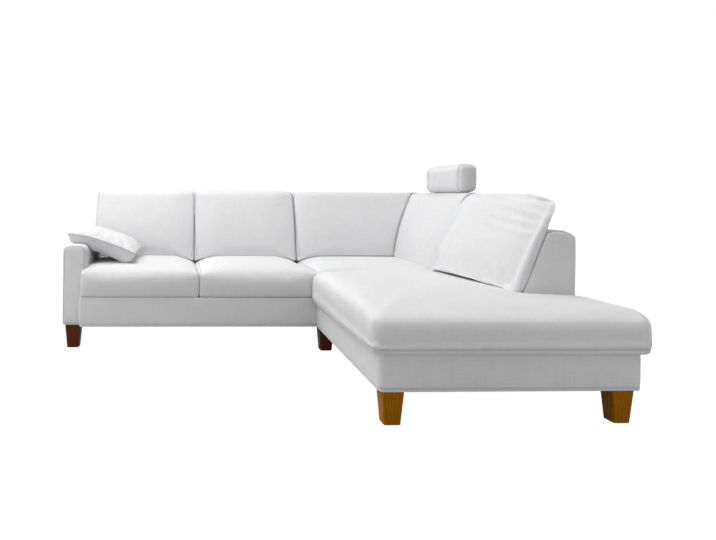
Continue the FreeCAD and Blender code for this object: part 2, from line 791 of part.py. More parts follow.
def build_low_backs(stems):
    """Covers, ribs and top rails of the low back on both units."""
    seat_left = seats_left - LOW_BACK_LAP + ARM_LAP
    left_cover = low_back_cover(rear_leg, seat_left, unit_right, False).cut(arm_space())
    save("left_low_back_cover", [max(left_cover.Solids, key=lambda solid: solid.Volume)])
    rear_cover = low_back_cover(rear_leg, unit_left, low_back_rear, True)
    side_cover = low_back_cover(side_leg, -LOW_BACK_END, low_back_rear, True)
    corner_cover = rear_cover.fuse(side_cover).removeSplitter().cut(stems)
    save("corner_low_back_cover", [corner_cover])
    cover = LOW_BACK_COVER
    left_ribs = [arm_inner + cover, (arm_inner + unit_right) / 2, unit_right - cover - RIB_THICKNESS]
    rear_ribs = [unit_left + cover, LEG_DEPTH / 2]
    side_ribs = [-LOW_BACK_END + cover, -RIB_THICKNESS / 2, side_rib_place]
    save("left_back_ribs", [rib(rear_leg, s) for s in left_ribs])
    save("rear_back_ribs", [rib(rear_leg, s) for s in rear_ribs])
    save("side_back_ribs", [rib(side_leg, s) for s in side_ribs])
    save("left_back_top_rail", [top_rail(rear_leg, left_ribs[0], unit_right - cover)])
    rear_rail = top_rail(rear_leg, rear_ribs[0], top_rail(side_leg, 0, 1).BoundBox.XMin)
    save("rear_back_top_rail", [rear_rail])
    side_rail = top_rail(side_leg, side_ribs[0], rear_rail.BoundBox.YMax)
    save("side_back_top_rail", [side_rail])


# Back cushions

def back_outline(bottom, top, clearance=0.0, rear_radius=BACK_REAR_RADIUS,
                 foot_thickness=BACK_FOOT_THICKNESS):
    """Full section of a back cushion as a start and steps, its rear foot first."""
    rear_foot = lean_at(bottom) - clearance
    rear_top = lean_at(top) - clearance
    front_foot = rear_foot - foot_thickness
    front_top = rear_top - BACK_TOP_THICKNESS
    front_corner = round_corner((front_top, top), (front_foot, bottom), (rear_top, top), BACK_TOP_RADIUS)
    rear_corner = round_corner((rear_top, top), (front_top, top), (rear_foot, bottom), rear_radius)
    foot_corner = round_corner((front_foot, bottom), (rear_foot, bottom), (front_top, top), BACK_FOOT_RADIUS)
    middle_u = (foot_corner[2][0] + front_corner[0][0]) / 2
    middle_z = (foot_corner[2][1] + front_corner[0][1]) / 2
    belly = (middle_u - BACK_CROWN / lean_length, middle_z + BACK_CROWN * BACK_LEAN / lean_length)
    return (rear_foot, bottom), [
        (foot_corner[0],),
        (foot_corner[1], foot_corner[2]),
        (belly, front_corner[0]),
        (front_corner[1], front_corner[2]),
        (rear_corner[0],),
        (rear_corner[1], rear_corner[2]),
        ((rear_foot, bottom),),
    ]


def scaled_outline(place, start, steps, centre, size):
    """A closed wire of an outline drawn smaller about a centre."""
    def shrink(point):
        return (centre[0] + (point[0] - centre[0]) * size, centre[1] + (point[1] - centre[1]) * size)
    return outline(place, shrink(start), [tuple(shrink(point) for point in step) for step in steps])


def seam_places(leg, s0, reach, shrink):
    """Stations of a drawn-in seam end, from the seam inwards, with how much each shrinks."""
    return [(at_station(leg, s0 + along * reach), less * shrink) for along, less in SEAM_PROFILE]


def back_cushion(leg, s0, s1, section, end_round=BACK_SEAM_ROUND, end_size=BACK_SEAM_SIZE):
    """A crowned back cushion of one section between two seams."""
    start, steps = section
    places = seam_places(leg, s0, end_round, 1 - end_size)
    places.append((at_station(leg, (s0 + s1) / 2), 0.0))
    places += seam_places(leg, s1, -end_round, 1 - end_size)[::-1]
    return loft([scaled_outline(place, start, steps, start, 1 - less) for place, less in places])


def corner_back_cushion(leg, s0):
    """A back cushion from its seam to the corner's mitre."""
    start, steps = back_outline(back_foot_z, BACK_HEIGHT)
    places = seam_places(leg, s0, BACK_SEAM_ROUND, 1 - BACK_SEAM_SIZE)
    full = s0 + BACK_SEAM_ROUND * 3
    places.append((at_station(leg, full), 0.0))
    end = loft([scaled_outline(place, start, steps, start, 1 - less) for place, less in places])
    face = Part.Face(outline(at_station(leg, full), start, steps))
    straight = face.extrude(leg(LEG_DEPTH - full, 0, 0))
    short = leg(-UNIT_GAP / 2, 0, 0)
    half = mitre_half(leg)
    half.translate(short)
    return end.fuse(straight.common(half)).removeSplitter()


def build_backs():
    """Four fixed back cushions and the loose one."""
    gap = SEAM_GAP / 2
    left = seats_left + ARM_LAP - BACK_LAP
    middle = seats_left + SEAT_WIDTH
    fixed = back_outline(back_foot_z, BACK_HEIGHT)
    save("left_back_cushion", [back_cushion(rear_leg, left, middle - gap, fixed).cut(arm_space())])
    save("right_back_cushion", [back_cushion(rear_leg, middle + gap, -gap, fixed)])
    save("corner_rear_back_cushion", [corner_back_cushion(rear_leg, gap)])
    save("corner_side_back_cushion", [corner_back_cushion(side_leg, -LOOSE_SIDE_GAP)])
    loose_far = -LOOSE_SIDE_GAP - SEAM_GAP
    section = back_outline(back_foot_z + LOOSE_CLEARANCE, BACK_HEIGHT - LOOSE_TOP_SAG, LOOSE_CLEARANCE,
                           LOOSE_REAR_RADIUS, LOOSE_FOOT_THICKNESS)
    loose = back_cushion(side_leg, loose_far - LOOSE_LENGTH, loose_far, section, LOOSE_END_ROUND,
                         LOOSE_END_SIZE)
    save("loose_back_cushion", [loose])


# Arm

def arm_corners(inset, bottom):
    """Outline of the arm seen from the front, drawn in by an inset."""
    x0 = arm_outer + inset
    x1 = arm_inner - inset
    top = ARM_HEIGHT - inset
    radius = max(ARM_SHOULDER - inset, LEAST_RADIUS)
    return [(x0, bottom, 0), (x1, bottom, 0), (x1, top, radius), (x0, top, radius)]


def arm_prism(inset, bottom, y0, y1):
    """A length of the arm's outline along Y."""
    wire = rounded_outline(lambda x, z: V(x, y0, z), arm_corners(inset, bottom))
    return Part.Face(wire).extrude(V(0, y1 - y0, 0))


def arm_base_block():
    """The bottom rail of the arm, which its feet screw into."""
    y0 = ARM_SETBACK + LOW_BACK_COVER + BOARD_THICKNESS
    y1 = LEG_DEPTH - LOW_BACK_COVER - BOARD_THICKNESS
    x0 = arm_outer + LOW_BACK_COVER + PANEL_THICKNESS
    x1 = arm_inner - LOW_BACK_COVER - PANEL_THICKNESS
    return box(x0, x1, y0, y1, rail_bottom, rail_bottom + BLOCK_HEIGHT)


def build_arm():
    """The arm: two end boards, a top and a bottom rail, side panels and the padded cover."""
    pad = LOW_BACK_COVER
    y0 = ARM_SETBACK
    y1 = LEG_DEPTH
    outer = arm_prism(0.0, FOOT_HEIGHT, y0, y1)
    front_edges = []
    for edge in outer.Edges:
        bounds = edge.BoundBox
        if bounds.YMax < y0 + 0.1 and bounds.ZMax > FOOT_HEIGHT + 1:
            front_edges.append(edge)
    outer = outer.makeFillet(ARM_FRONT_RADIUS, front_edges)
    cavity = arm_prism(pad, rail_bottom, y0 + pad, y1 - pad)
    opening = box(arm_outer + pad, arm_inner - pad, y0 + pad, y1 - pad, 0, rail_bottom + 1)
    save("arm_cover", [outer.cut(cavity).cut(opening)])
    boards = [arm_prism(pad, rail_bottom, y0 + pad, y0 + pad + BOARD_THICKNESS),
              arm_prism(pad, rail_bottom, y1 - pad - BOARD_THICKNESS, y1 - pad)]
    save("arm_end_boards", boards)
    x0 = arm_outer + pad
    x1 = arm_inner - pad
    inner_y0 = y0 + pad + BOARD_THICKNESS
    inner_y1 = y1 - pad - BOARD_THICKNESS
    top = ARM_HEIGHT - pad
    shoulder = ARM_SHOULDER - pad
    save("arm_top_rail", [box(x0 + shoulder, x1 - shoulder, inner_y0, inner_y1, top - BOARD_THICKNESS, top)])
    panel_top = top - shoulder
    panels = [
        box(x0, x0 + PANEL_THICKNESS, inner_y0, inner_y1, rail_bottom, panel_top),
        box(x1 - PANEL_THICKNESS, x1, inner_y0, inner_y1, rail_bottom, panel_top),
    ]
    save("arm_side_panels", panels)


# Headrest

def stem_point(z):
    """X of the line that the stems follow down into the low back, at height z."""
    offset = LOW_BACK_COVER + SLEEVE_GAP + SLEEVE_WALL + STEM_CLEARANCE + STEM_DIAMETER / 2
    return lean_at(z) + offset * lean_length


def stem_path(y):
    """Points of one stem: down the low back's lean, then upright into the headrest."""
    x = stem_upright_x
    bend_z = BACK_FOOT_HEIGHT + (x - stem_point(BACK_FOOT_HEIGHT)) / BACK_LEAN
    lower_z = LOW_BACK_HEIGHT - STEM_DEPTH / lean_length
    return V(stem_point(lower_z), y, lower_z), V(x, y, bend_z), V(x, y, headrest_foot + STEM_HEAD)


def rod(path, radius):
    """A many-sided rod along straight runs, mitred where they meet."""
    runs = [(b - a).normalize() for a, b in zip(path, path[1:])]
    side = V(0, radius, 0)
    other = runs[0].cross(side)
    ring = []
    for k in range(ROD_SIDES):
        angle = 2 * math.pi * k / ROD_SIDES
        ring.append(path[0] + side * math.cos(angle) + other * math.sin(angle))
    rings = [ring]
    for i, run in enumerate(runs):
        ahead = runs[min(i + 1, len(runs) - 1)]
        normal = run + ahead
        ring = [p + run * ((path[i + 1] - p).dot(normal) / run.dot(normal)) for p in ring]
        rings.append(ring)
    return faceted(rings)


def stem_solid(y, radius):
    """One bent stem of the headrest."""
    low, bend, head = stem_path(y)
    before = bend + (low - bend).normalize() * STEM_BEND
    after = bend + (head - bend).normalize() * STEM_BEND
    return rod([low, before, after, head], radius)


def stem_places():
    """Y of the two stems, either side of the headrest's middle."""
    middle = HEADREST_NEAR_END + HEADREST_LENGTH / 2
    return [middle - STEM_SPACING / 2, middle + STEM_SPACING / 2]


def leaning_slab(near, far, y0, y1, top, length):
    """A slab along the low back's lean, between two distances behind its front plane."""
    along = V(-BACK_LEAN, 0, -1).normalize() * length
    across = V(1, 0, -BACK_LEAN).normalize()
    corner = V(lean_at(top), y0, top) + across * near
    thick = across * (far - near)
    ring = [corner, corner + thick, corner + thick + along, corner + along]
    return Part.Face(Part.makePolygon(ring + ring[:1])).extrude(V(0, y1 - y0, 0))


def sleeve_top():
    """Height at which the sleeves start, under the top of the low back's cover."""
    return LOW_BACK_HEIGHT - LOW_BACK_COVER - SLEEVE_GAP


def sleeve(y):
    """A square guide for one stem, inside the low back, with a round bore."""
    half = STEM_DIAMETER / 2 + STEM_CLEARANCE + SLEEVE_WALL
    near = LOW_BACK_COVER + SLEEVE_GAP
    block = leaning_slab(near, near + 2 * half, y - half, y + half, sleeve_top(), SLEEVE_LENGTH)
    axis = V(BACK_LEAN, 0, 1).normalize()
    base = V(stem_point(0), y, 0)
    return block.cut(Part.makeCylinder(STEM_DIAMETER / 2 + STEM_CLEARANCE, LOW_BACK_HEIGHT * 2, base, axis))


def mount_board():
    """The board between two ribs that the sleeves are fixed to."""
    near = LOW_BACK_COVER + SLEEVE_GAP + 2 * (STEM_DIAMETER / 2 + STEM_CLEARANCE + SLEEVE_WALL)
    far = near + MOUNT_BOARD_THICKNESS
    return leaning_slab(near, far, RIB_THICKNESS / 2, side_rib_place, sleeve_top(), SLEEVE_LENGTH)


def headrest_outline():
    """Full section of the headrest pad as a start and steps."""
    x0 = headrest_front
    x1 = headrest_front + HEADREST_THICKNESS
    z0 = headrest_foot
    z1 = headrest_foot + HEADREST_HEIGHT
    r = HEADREST_RADIUS
    low = HEADREST_LOWER_RADIUS
    turn = 1 - math.sqrt(0.5)
    bulge = HEADREST_BULGE
    mid_x = (x0 + x1) / 2
    mid_z = (z0 + z1) / 2
    return (x1 - low, z0), [
        ((x0 + low, z0),),
        ((x0 + low * turn, z0 + low * turn), (x0, z0 + low)),
        ((x0 - bulge, mid_z), (x0, z1 - r)),
        ((x0 + r * turn, z1 - r * turn), (x0 + r, z1)),
        ((mid_x, z1 + bulge), (x1 - r, z1)),
        ((x1 - r * turn, z1 - r * turn), (x1, z1 - r)),
        ((x1 + bulge, mid_z), (x1, z0 + low)),
        ((x1 - low * turn, z0 + low * turn), (x1 - low, z0)),
    ]


def build_headrest():
    """The headrest: pad, board, two bent stems, and their sleeves in the low back."""
    stems = [stem_solid(y, STEM_DIAMETER / 2) for y in stem_places()]
    save("headrest_stems", stems)
    save("headrest_sleeves", [sleeve(y) for y in stem_places()])
    save("headrest_mount_board", [mount_board()])
    z0 = headrest_foot + HEADREST_BOARD_FOOT
    z1 = headrest_foot + HEADREST_HEIGHT - HEADREST_BOARD_HEAD
    y0 = HEADREST_NEAR_END + HEADREST_BOARD_MARGIN
    y1 = headrest_far_end - HEADREST_BOARD_MARGIN
    board_x1 = stem_upright_x - STEM_DIAMETER / 2
    board = box(board_x1 - HEADREST_BOARD, board_x1, y0, y1, z0, z1)
    save("headrest_board", [board])
    start, steps = headrest_outline()
    middle_x = headrest_front + HEADREST_THICKNESS / 2
    middle_z = headrest_foot + HEADREST_HEIGHT / 2
    near_places = []
    for i in range(HEADREST_END_STEPS + 1):
        angle = i * math.pi / 2 / HEADREST_END_STEPS
        size = 1 - (1 - HEADREST_END_SIZE) * (1 - math.sin(angle))
        near_places.append((HEADREST_RADIUS * (1 - math.cos(angle)), size))
    places = [(HEADREST_NEAR_END + along, size) for along, size in near_places]
    places += [(headrest_far_end - along, size) for along, size in near_places[::-1]]
    ring = [(x - middle_x, z - middle_z) for x, z in sampled(start, steps, ARC_PIECES)]
    rings = []
    for y, size in places:
        rings.append([V(middle_x + x * size, y, middle_z + z * size) for x, z in ring])
    pad = faceted(rings).cut(board)
    for stem in stems:
        pad = pad.cut(stem)
    save("headrest_pad", [pad])


# Arm cushion

def pillow_outline():
    """Plan of the cushion at its seam: four drawn-in sides between rounded ears."""
    half_x = ARM_CUSHION_WIDTH / 2
    half_y = ARM_CUSHION_LENGTH / 2
    r = ARM_CUSHION_CORNER
    pull = ARM_CUSHION_EAR
    turn = r * (1 - math.sqrt(0.5))
    start = (-half_x + r, -half_y)
    steps = [
        ((0, -half_y + pull), (half_x - r, -half_y)),
        ((half_x - turn, -half_y + turn), (half_x, -half_y + r)),
        ((half_x - pull, 0), (half_x, half_y - r)),
        ((half_x - turn, half_y - turn), (half_x - r, half_y)),
        ((0, half_y - pull), (-half_x + r, half_y)),
        ((-half_x + turn, half_y - turn), (-half_x, half_y - r)),
        ((-half_x + pull, 0), (-half_x, -half_y + r)),
        ((-half_x + turn, -half_y + turn), (-half_x + r, -half_y)),
    ]
    return start, steps


def arm_cushion():
    """The loose cushion that leans on the arm: outlines that shrink as they leave its seam."""
    start, steps = pillow_outline()
    half = ARM_CUSHION_THICKNESS / 2
    levels = [(-height, size) for height, size in PILLOW_PROFILE[:0:-1]] + PILLOW_PROFILE
    ring = sampled(start, steps, ARC_PIECES)
    cushion = faceted([[V(x * size, y * size, height * half) for x, y in ring] for height, size in levels])
    cushion.rotate(V(0, 0, 0), V(0, 1, 0), ARM_CUSHION_ANGLE)
    y = back_foot - ARM_CUSHION_REAR_GAP - ARM_CUSHION_LENGTH / 2
    cushion.translate(V(arm_inner + ARM_CUSHION_REACH, y, ARM_HEIGHT + ARM_CUSHION_RISE))
    return cushion


# Plates between the units

def build_joining_plates():
    """Flat plates screwed under both units across their joint."""
    half_length = JOINING_LENGTH / 2
    half_width = JOINING_WIDTH / 2
    plates = []
    for y in (JOINING_FRONT_SETBACK, LEG_DEPTH - JOINING_REAR_SETBACK):
        plates.append(box(-half_length, half_length, y - half_width, y + half_width,
                          FOOT_HEIGHT - PLATE_THICKNESS, FOOT_HEIGHT))
    save("unit_joining_plates", plates)


os.makedirs("parts", exist_ok=True)
build_base()
build_base_covers()
build_springs()
build_seats()
hole = STEM_DIAMETER / 2 + STEM_CLEARANCE
build_low_backs(Part.Compound([stem_solid(y, hole) for y in stem_places()]))
build_backs()
build_arm()
build_headrest()
save("arm_cushion", [arm_cushion()])
build_joining_plates()
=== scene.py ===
import json
import logging
import math
from collections.abc import Callable, Iterable, Sequence
from dataclasses import dataclass, field
from enum import Enum

import bmesh
import bpy
import numpy as np
from mathutils import Matrix, Vector, noise
from mathutils.bvhtree import BVHTree
from mathutils.kdtree import KDTree


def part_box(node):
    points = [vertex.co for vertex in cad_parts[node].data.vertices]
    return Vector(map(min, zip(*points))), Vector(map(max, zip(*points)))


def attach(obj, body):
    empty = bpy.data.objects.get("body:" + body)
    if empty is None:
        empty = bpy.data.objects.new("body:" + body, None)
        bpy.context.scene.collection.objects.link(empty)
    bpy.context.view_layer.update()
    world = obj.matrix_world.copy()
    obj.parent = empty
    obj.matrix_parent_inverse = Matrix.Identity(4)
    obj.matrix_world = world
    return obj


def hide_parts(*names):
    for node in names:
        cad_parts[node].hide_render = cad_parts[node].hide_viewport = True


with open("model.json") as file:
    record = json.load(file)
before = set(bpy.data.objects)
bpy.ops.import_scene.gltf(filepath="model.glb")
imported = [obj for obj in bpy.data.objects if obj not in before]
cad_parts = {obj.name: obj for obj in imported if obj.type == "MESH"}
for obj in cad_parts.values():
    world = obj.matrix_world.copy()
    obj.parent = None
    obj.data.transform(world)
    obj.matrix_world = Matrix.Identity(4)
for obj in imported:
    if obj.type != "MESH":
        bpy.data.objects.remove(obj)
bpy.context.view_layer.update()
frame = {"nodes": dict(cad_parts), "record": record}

log = logging.getLogger("corner_sofa")

Point = tuple[float, float, float]
Colour = tuple[float, float, float]

WHITE: Colour = (1.0, 1.0, 1.0)
FULL_TURN = 2 * math.pi

# Half the gap between two seat cushions, or two back cushions, that meet at a seam
SEAM_GAP = 0.0008
# How far left of the line between the two seats the line between their backs stands
BACKS_SPLIT_SHIFT = 0.026
# How high the hem's seam runs above the foot of a cover
HEM_HEIGHT = 0.013
# How near a plane an edge has to be to count as lying in it
HAIR = 0.001
# How near the foot, the rear or an end seam the cloth of a seat is tacked down
TACKED_FOOT = 0.012
TACKED_REAR = 0.020
TACKED_END = 0.006


class Leg(Enum):
    """The two legs of the sofa's plan. Each has its own way along (s) and its own depth (u)."""

    REAR = "along X, depth towards +Y"
    SIDE = "along Y, depth towards +X"


class Body(Enum):
    """The bodies that move apart."""

    SOFA = "sofa"
    HEADREST = "headrest"
    LOOSE_CUSHION = "loose_back_cushion"
    ARM_CUSHION = "arm_cushion"


# Node building


class Value:
    """A number socket that Python's operators work on, each adding its Math node."""

    def __init__(self, graph: "Graph", socket: bpy.types.NodeSocket) -> None:
        """Keep the socket and the graph it belongs to."""
        self.graph = graph
        self.socket = socket

    def combine(self, operation: str, *others: "Value | float") -> "Value":
        """Add one Math node.

        Args:
            operation: the Math node's operation.
            others: its second and third inputs.

        Returns:
            The node's result.
        """
        return self.graph.math(operation, self, *others)

    def __add__(self, other: "Value | float") -> "Value":
        """Sum."""
        return self.combine("ADD", other)

    __radd__ = __add__

    def __mul__(self, other: "Value | float") -> "Value":
        """Product."""
        return self.combine("MULTIPLY", other)

    __rmul__ = __mul__

    def __sub__(self, other: "Value | float") -> "Value":
        """Difference."""
        return self.combine("SUBTRACT", other)

    def __rsub__(self, other: "Value | float") -> "Value":
        """Difference, the other way round."""
        return self.graph.math("SUBTRACT", other, self)

    def __truediv__(self, other: "Value | float") -> "Value":
        """Quotient."""
        return self.combine("DIVIDE", other)

    def __pow__(self, other: "Value | float") -> "Value":
        """Power."""
        return self.combine("POWER", other)

    def clamped(self) -> "Value":
        """The number held between 0 and 1."""
        return self.combine("MINIMUM", 1.0).combine("MAXIMUM", 0.0)


class Graph:
    """The node tree of a material or of the world."""

    def __init__(self, owner: bpy.types.Material | bpy.types.World, output: str) -> None:
        """Start an empty tree with its output node.

        Args:
            owner: the material or the world.
            output: the type of its output node.
        """
        owner.use_nodes = True
        self.owner = owner
        self.tree = owner.node_tree
        self.tree.nodes.clear()
        self.output = self.add(output)

    @classmethod
    def of_material(cls, name: str) -> "Graph":
        """Start a material of that name."""
        return cls(bpy.data.materials.new(name), "OutputMaterial")

    def add(self, kind: str, settings: dict | None = None,
            sockets: dict | None = None) -> bpy.types.Node:
        """Add any node.

        Args:
            kind: the node's type after ShaderNode.
            settings: properties set first; "stops" gives a ramp's places and colours.
            sockets: values or links of its inputs, by name or by number.

        Returns:
            The node.
        """
        node = self.tree.nodes.new("ShaderNode" + kind)
        for key, value in (settings or {}).items():
            if key == "stops":
                self.fill_ramp(node.color_ramp, value)
            else:
                setattr(node, key, value)
        for key, value in (sockets or {}).items():
            self.feed(node.inputs[key], value)
        return node

    @staticmethod
    def fill_ramp(ramp: bpy.types.ColorRamp, stops: Sequence[tuple]) -> None:
        """Give a ramp its stops, each a place and a colour.

        Args:
            ramp: the ramp.
            stops: its places and colours.
        """
        while len(ramp.elements) < len(stops):
            ramp.elements.new(1.0)
        for element, (place, colour) in zip(ramp.elements, stops):
            element.position = place
            element.color = (*colour, 1.0)

    def feed(self, socket: bpy.types.NodeSocket, value: object) -> None:
        """Link a socket, or set its value.

        Args:
            socket: the input.
            value: a Value or an output to link, or a plain value.
        """
        if isinstance(value, Value):
            self.tree.links.new(value.socket, socket)
        elif isinstance(value, bpy.types.NodeSocket):
            self.tree.links.new(value, socket)
        elif isinstance(value, tuple) and len(value) == 3 and socket.type == "RGBA":
            socket.default_value = (*value, 1.0)
        else:
            socket.default_value = value

    def math(self, operation: str, *inputs: "Value | float") -> Value:
        """Add a Math node on values and numbers, and return its result."""
        node = self.add("Math", {"operation": operation}, dict(enumerate(inputs)))
        return Value(self, node.outputs[0])

    def place(self) -> bpy.types.NodeSocket:
        """The place on the object, in metres."""
        return self.add("TexCoord").outputs["Object"]

    def axes(self, socket: bpy.types.NodeSocket) -> tuple[Value, Value, Value]:
        """The three numbers of a vector socket."""
        node = self.add("SeparateXYZ", sockets={0: socket})
        return tuple(Value(self, out) for out in node.outputs)

    def noise(self, vector: object, scale: float, detail: float = 2.0, rough: float = 0.5) -> Value:
        """Noise from 0 to 1 at a scale in features per metre."""
        sockets = {"Vector": vector, "Scale": scale, "Detail": detail, "Roughness": rough}
        return Value(self, self.add("TexNoise", sockets=sockets).outputs[0])

    def stretched(self, vector: object, scale: Point) -> bpy.types.NodeSocket:
        """A vector whose three numbers are each scaled."""
        return self.add("Mapping", sockets={"Vector": vector, "Scale": scale}).outputs[0]

    def mix(self, share: "Value | float", low: object, high: object) -> bpy.types.NodeSocket:
        """A colour between two others."""
        return self.add("Mix", {"data_type": "RGBA"}, {0: share, 6: low, 7: high}).outputs[2]

    def bump(self, height: Value, strength: float, distance: float) -> bpy.types.NodeSocket:
        """A normal from a height in units of distance, in metres."""
        sockets = {"Strength": strength, "Distance": distance, "Height": height}
        return self.add("Bump", sockets=sockets).outputs[0]

    def finish(self, shader: bpy.types.Node) -> None:
        """Link a shader to the output."""
        self.tree.links.new(shader.outputs[0], self.output.inputs[0])

    def surface(self, **sockets: object) -> bpy.types.Material:
        """Finish the material with a Principled surface.

        Args:
            sockets: its inputs, with underscores for the spaces in their names.

        Returns:
            The material.
        """
        named = {key.replace("_", " "): value for key, value in sockets.items()}
        self.finish(self.add("BsdfPrincipled", sockets=named))
        return self.owner


# Finishes


@dataclass(frozen=True)
class WovenCover:
    """The pale upholstery cloth: a plain weave with slubs, a soft nap and faint handling marks."""

    name: str = "woven_cover"
    colour: Colour = (0.80, 0.80, 0.806)
    shade: Colour = (0.66, 0.66, 0.668)
    thread_pitch: float = 0.0022
    slub_length: float = 0.055
    slub_width: float = 0.0032
    cloud_scale: float = 3.1
    mark_scale: float = 14.0
    bump_depth: float = 0.0011
    nap: float = 0.18

    def make(self) -> bpy.types.Material:
        """Build the material.

        Returns:
            The material.
        """
        g = Graph.of_material(self.name)
        place = g.place()
        x, y, z = g.axes(place)
        nx, ny, nz = (n * n for n in g.axes(g.add("NewGeometry").outputs["Normal"]))
        turn = FULL_TURN / self.thread_pitch
        sx, sy, sz = (g.math("SINE", a * turn) for a in (x, y, z))
        weave = sx * sz * ny + sy * sz * nx + sx * sy * nz
        long_way = 1 / self.slub_length
        short_way = 1 / self.slub_width
        weft = g.noise(g.stretched(place, (long_way, short_way, short_way)), 1.0, 1.0)
        warp = g.noise(g.stretched(place, (short_way, long_way, long_way)), 1.0, 1.0)
        slubs = (weft + warp) * 0.5
        cloud = g.noise(place, self.cloud_scale, 3.0, 0.6)
        marks = g.noise(place, self.mark_scale, 4.0, 0.62)
        tone = (slubs - 0.5) * 1.3 + (cloud - 0.5) * 0.45 + (marks - 0.5) * 0.35
        tone = tone + weave * 0.10 + 0.66
        height = weave * 0.5 + slubs * 1.6 + marks * 0.9
        return g.surface(
            Base_Color=g.mix(tone.clamped(), self.shade, self.colour),
            Roughness=(0.86 + (marks - 0.5) * 0.16).clamped(),
            Normal=g.bump(height, 0.55, self.bump_depth),
            Specular_IOR_Level=0.22,
            Sheen_Weight=self.nap,
            Sheen_Roughness=0.45,
        )


@dataclass(frozen=True)
class SeamThread:
    """The twisted sewing thread and the pressed edge of cloth along a seam, with painted shade in
    the hollows between its stitches.
    """

    name: str = "seam_thread"
    colour: Colour = (0.66, 0.66, 0.68)
    stitch_hollow_shade: Colour = (0.40, 0.40, 0.42)
    stitch: float = 0.0046
    fuzz_scale: float = 900.0
    bump_depth: float = 0.0006

    def make(self) -> bpy.types.Material:
        """Build the material.

        Returns:
            The material.
        """
        g = Graph.of_material(self.name)
        x, y, z = g.axes(g.place())
        beat = g.math("SINE", (x + y + z) * (FULL_TURN / self.stitch))
        fuzz = g.noise(g.place(), self.fuzz_scale, 2.0)
        # The hollow colour is painted shade that darkens the thread between stitches.
        tone = (beat * 0.35 + 0.6 + (fuzz - 0.5) * 0.5).clamped()
        return g.surface(
            Base_Color=g.mix(tone, self.stitch_hollow_shade, self.colour),
            Roughness=0.8 + (fuzz - 0.5) * 0.2,
            Normal=g.bump(beat + fuzz, 0.6, self.bump_depth),
            Sheen_Weight=0.1,
        )


@dataclass(frozen=True)
class StainedWood:
    """Stained solid wood with upright grain, pores, and paler worn edges at the foot."""

    name: str
    light: Colour
    dark: Colour
    gloss: float = 0.42
    ring_way: Point = (0.8, 0.55, 0.12)
    ring_turn: float = 620.0
    fibre: Point = (420.0, 420.0, 16.0)
    pore: Point = (1100.0, 1100.0, 60.0)
    wear_fade: float = 22.0
    bump_depth: float = 0.0006

    def make(self) -> bpy.types.Material:
        """Build the material.

        Returns:
            The material.
        """
        g = Graph.of_material(self.name)
        place = g.place()
        bend = g.noise(place, 9.0, 3.0)
        x, y, z = g.axes(place)
        a, b, c = self.ring_way
        rings = g.math("SINE", (x * a + y * b + z * c + bend * 0.035) * self.ring_turn)
        fibre = g.noise(g.stretched(place, self.fibre), 1.0, 4.0, 0.65)
        pores = g.noise(g.stretched(place, self.pore), 1.0, 2.0, 0.7)
        wear = (1 - z * self.wear_fade).clamped() * g.noise(place, 45.0, 3.0)
        tone = (rings * 0.16 + fibre * 0.9 + bend * 0.35 + wear * 0.35 - 0.16).clamped()
        pits = (pores - 0.52) * 3.0
        return g.surface(
            Base_Color=g.mix(tone, self.dark, self.light),
            Roughness=(self.gloss + fibre * 0.22 + wear * 0.2).clamped(),
            Normal=g.bump(rings * 0.15 + fibre * 0.6 - pits.clamped() * 0.5, 0.35, self.bump_depth),
            Specular_IOR_Level=0.05,
        )


@dataclass(frozen=True)
class PlainTimber:
    """Sawn frame timber, ply or hardboard: pale, matt and fibrous."""

    name: str
    light: Colour
    dark: Colour
    grain: Point = (24.0, 24.0, 260.0)

    def make(self) -> bpy.types.Material:
        """Build the material.

        Returns:
            The material.
        """
        g = Graph.of_material(self.name)
        place = g.place()
        fibre = g.noise(g.stretched(place, self.grain), 1.0, 4.0, 0.6)
        blotch = g.noise(place, 6.0, 3.0)
        tone = (fibre * 1.1 + blotch * 0.4 - 0.25).clamped()
        return g.surface(
            Base_Color=g.mix(tone, self.dark, self.light),
            Roughness=(0.72 + fibre * 0.2).clamped(),
            Normal=g.bump(fibre, 0.4, 0.0008),
        )


@dataclass(frozen=True)
class Steel:
    """Steel wire, zinc-plated plate or chromed tube."""

    name: str
    colour: Colour
    roughness: float
    speckle: float = 180.0
    scratches: Point = (60.0, 60.0, 1500.0)

    def make(self) -> bpy.types.Material:
        """Build the material.

        Returns:
            The material.
        """
        g = Graph.of_material(self.name)
        place = g.place()
        spangle = g.noise(place, self.speckle, 3.0, 0.6)
        scratch = g.noise(g.stretched(place, self.scratches), 1.0, 2.0)
        dulled = tuple(c * 0.8 for c in self.colour)
        return g.surface(
            Base_Color=g.mix(spangle, dulled, self.colour),
            Metallic=1.0,
            Roughness=(self.roughness + spangle * 0.12 + scratch * 0.06).clamped(),
            Normal=g.bump(scratch, 0.1, 0.0002),
        )


@dataclass(frozen=True)
class Matt:
    """Moulded plastic, felt or woven lining, by the grain of its surface."""

    name: str
    light: Colour
    dark: Colour
    grain: float
    depth: float
    roughness: float = 0.7
    nap: float = 0.0

    def make(self) -> bpy.types.Material:
        """Build the material.

        Returns:
            The material.
        """
        g = Graph.of_material(self.name)
        place = g.place()
        grit = g.noise(place, self.grain, 3.0, 0.65)
        cloud = g.noise(place, 8.0, 2.0)
        return g.surface(
            Base_Color=g.mix((grit * 0.8 + cloud * 0.3).clamped(), self.dark, self.light),
            Roughness=(self.roughness + grit * 0.2 - 0.1).clamped(),
            Normal=g.bump(grit, 0.5, self.depth),
            Sheen_Weight=self.nap,
        )


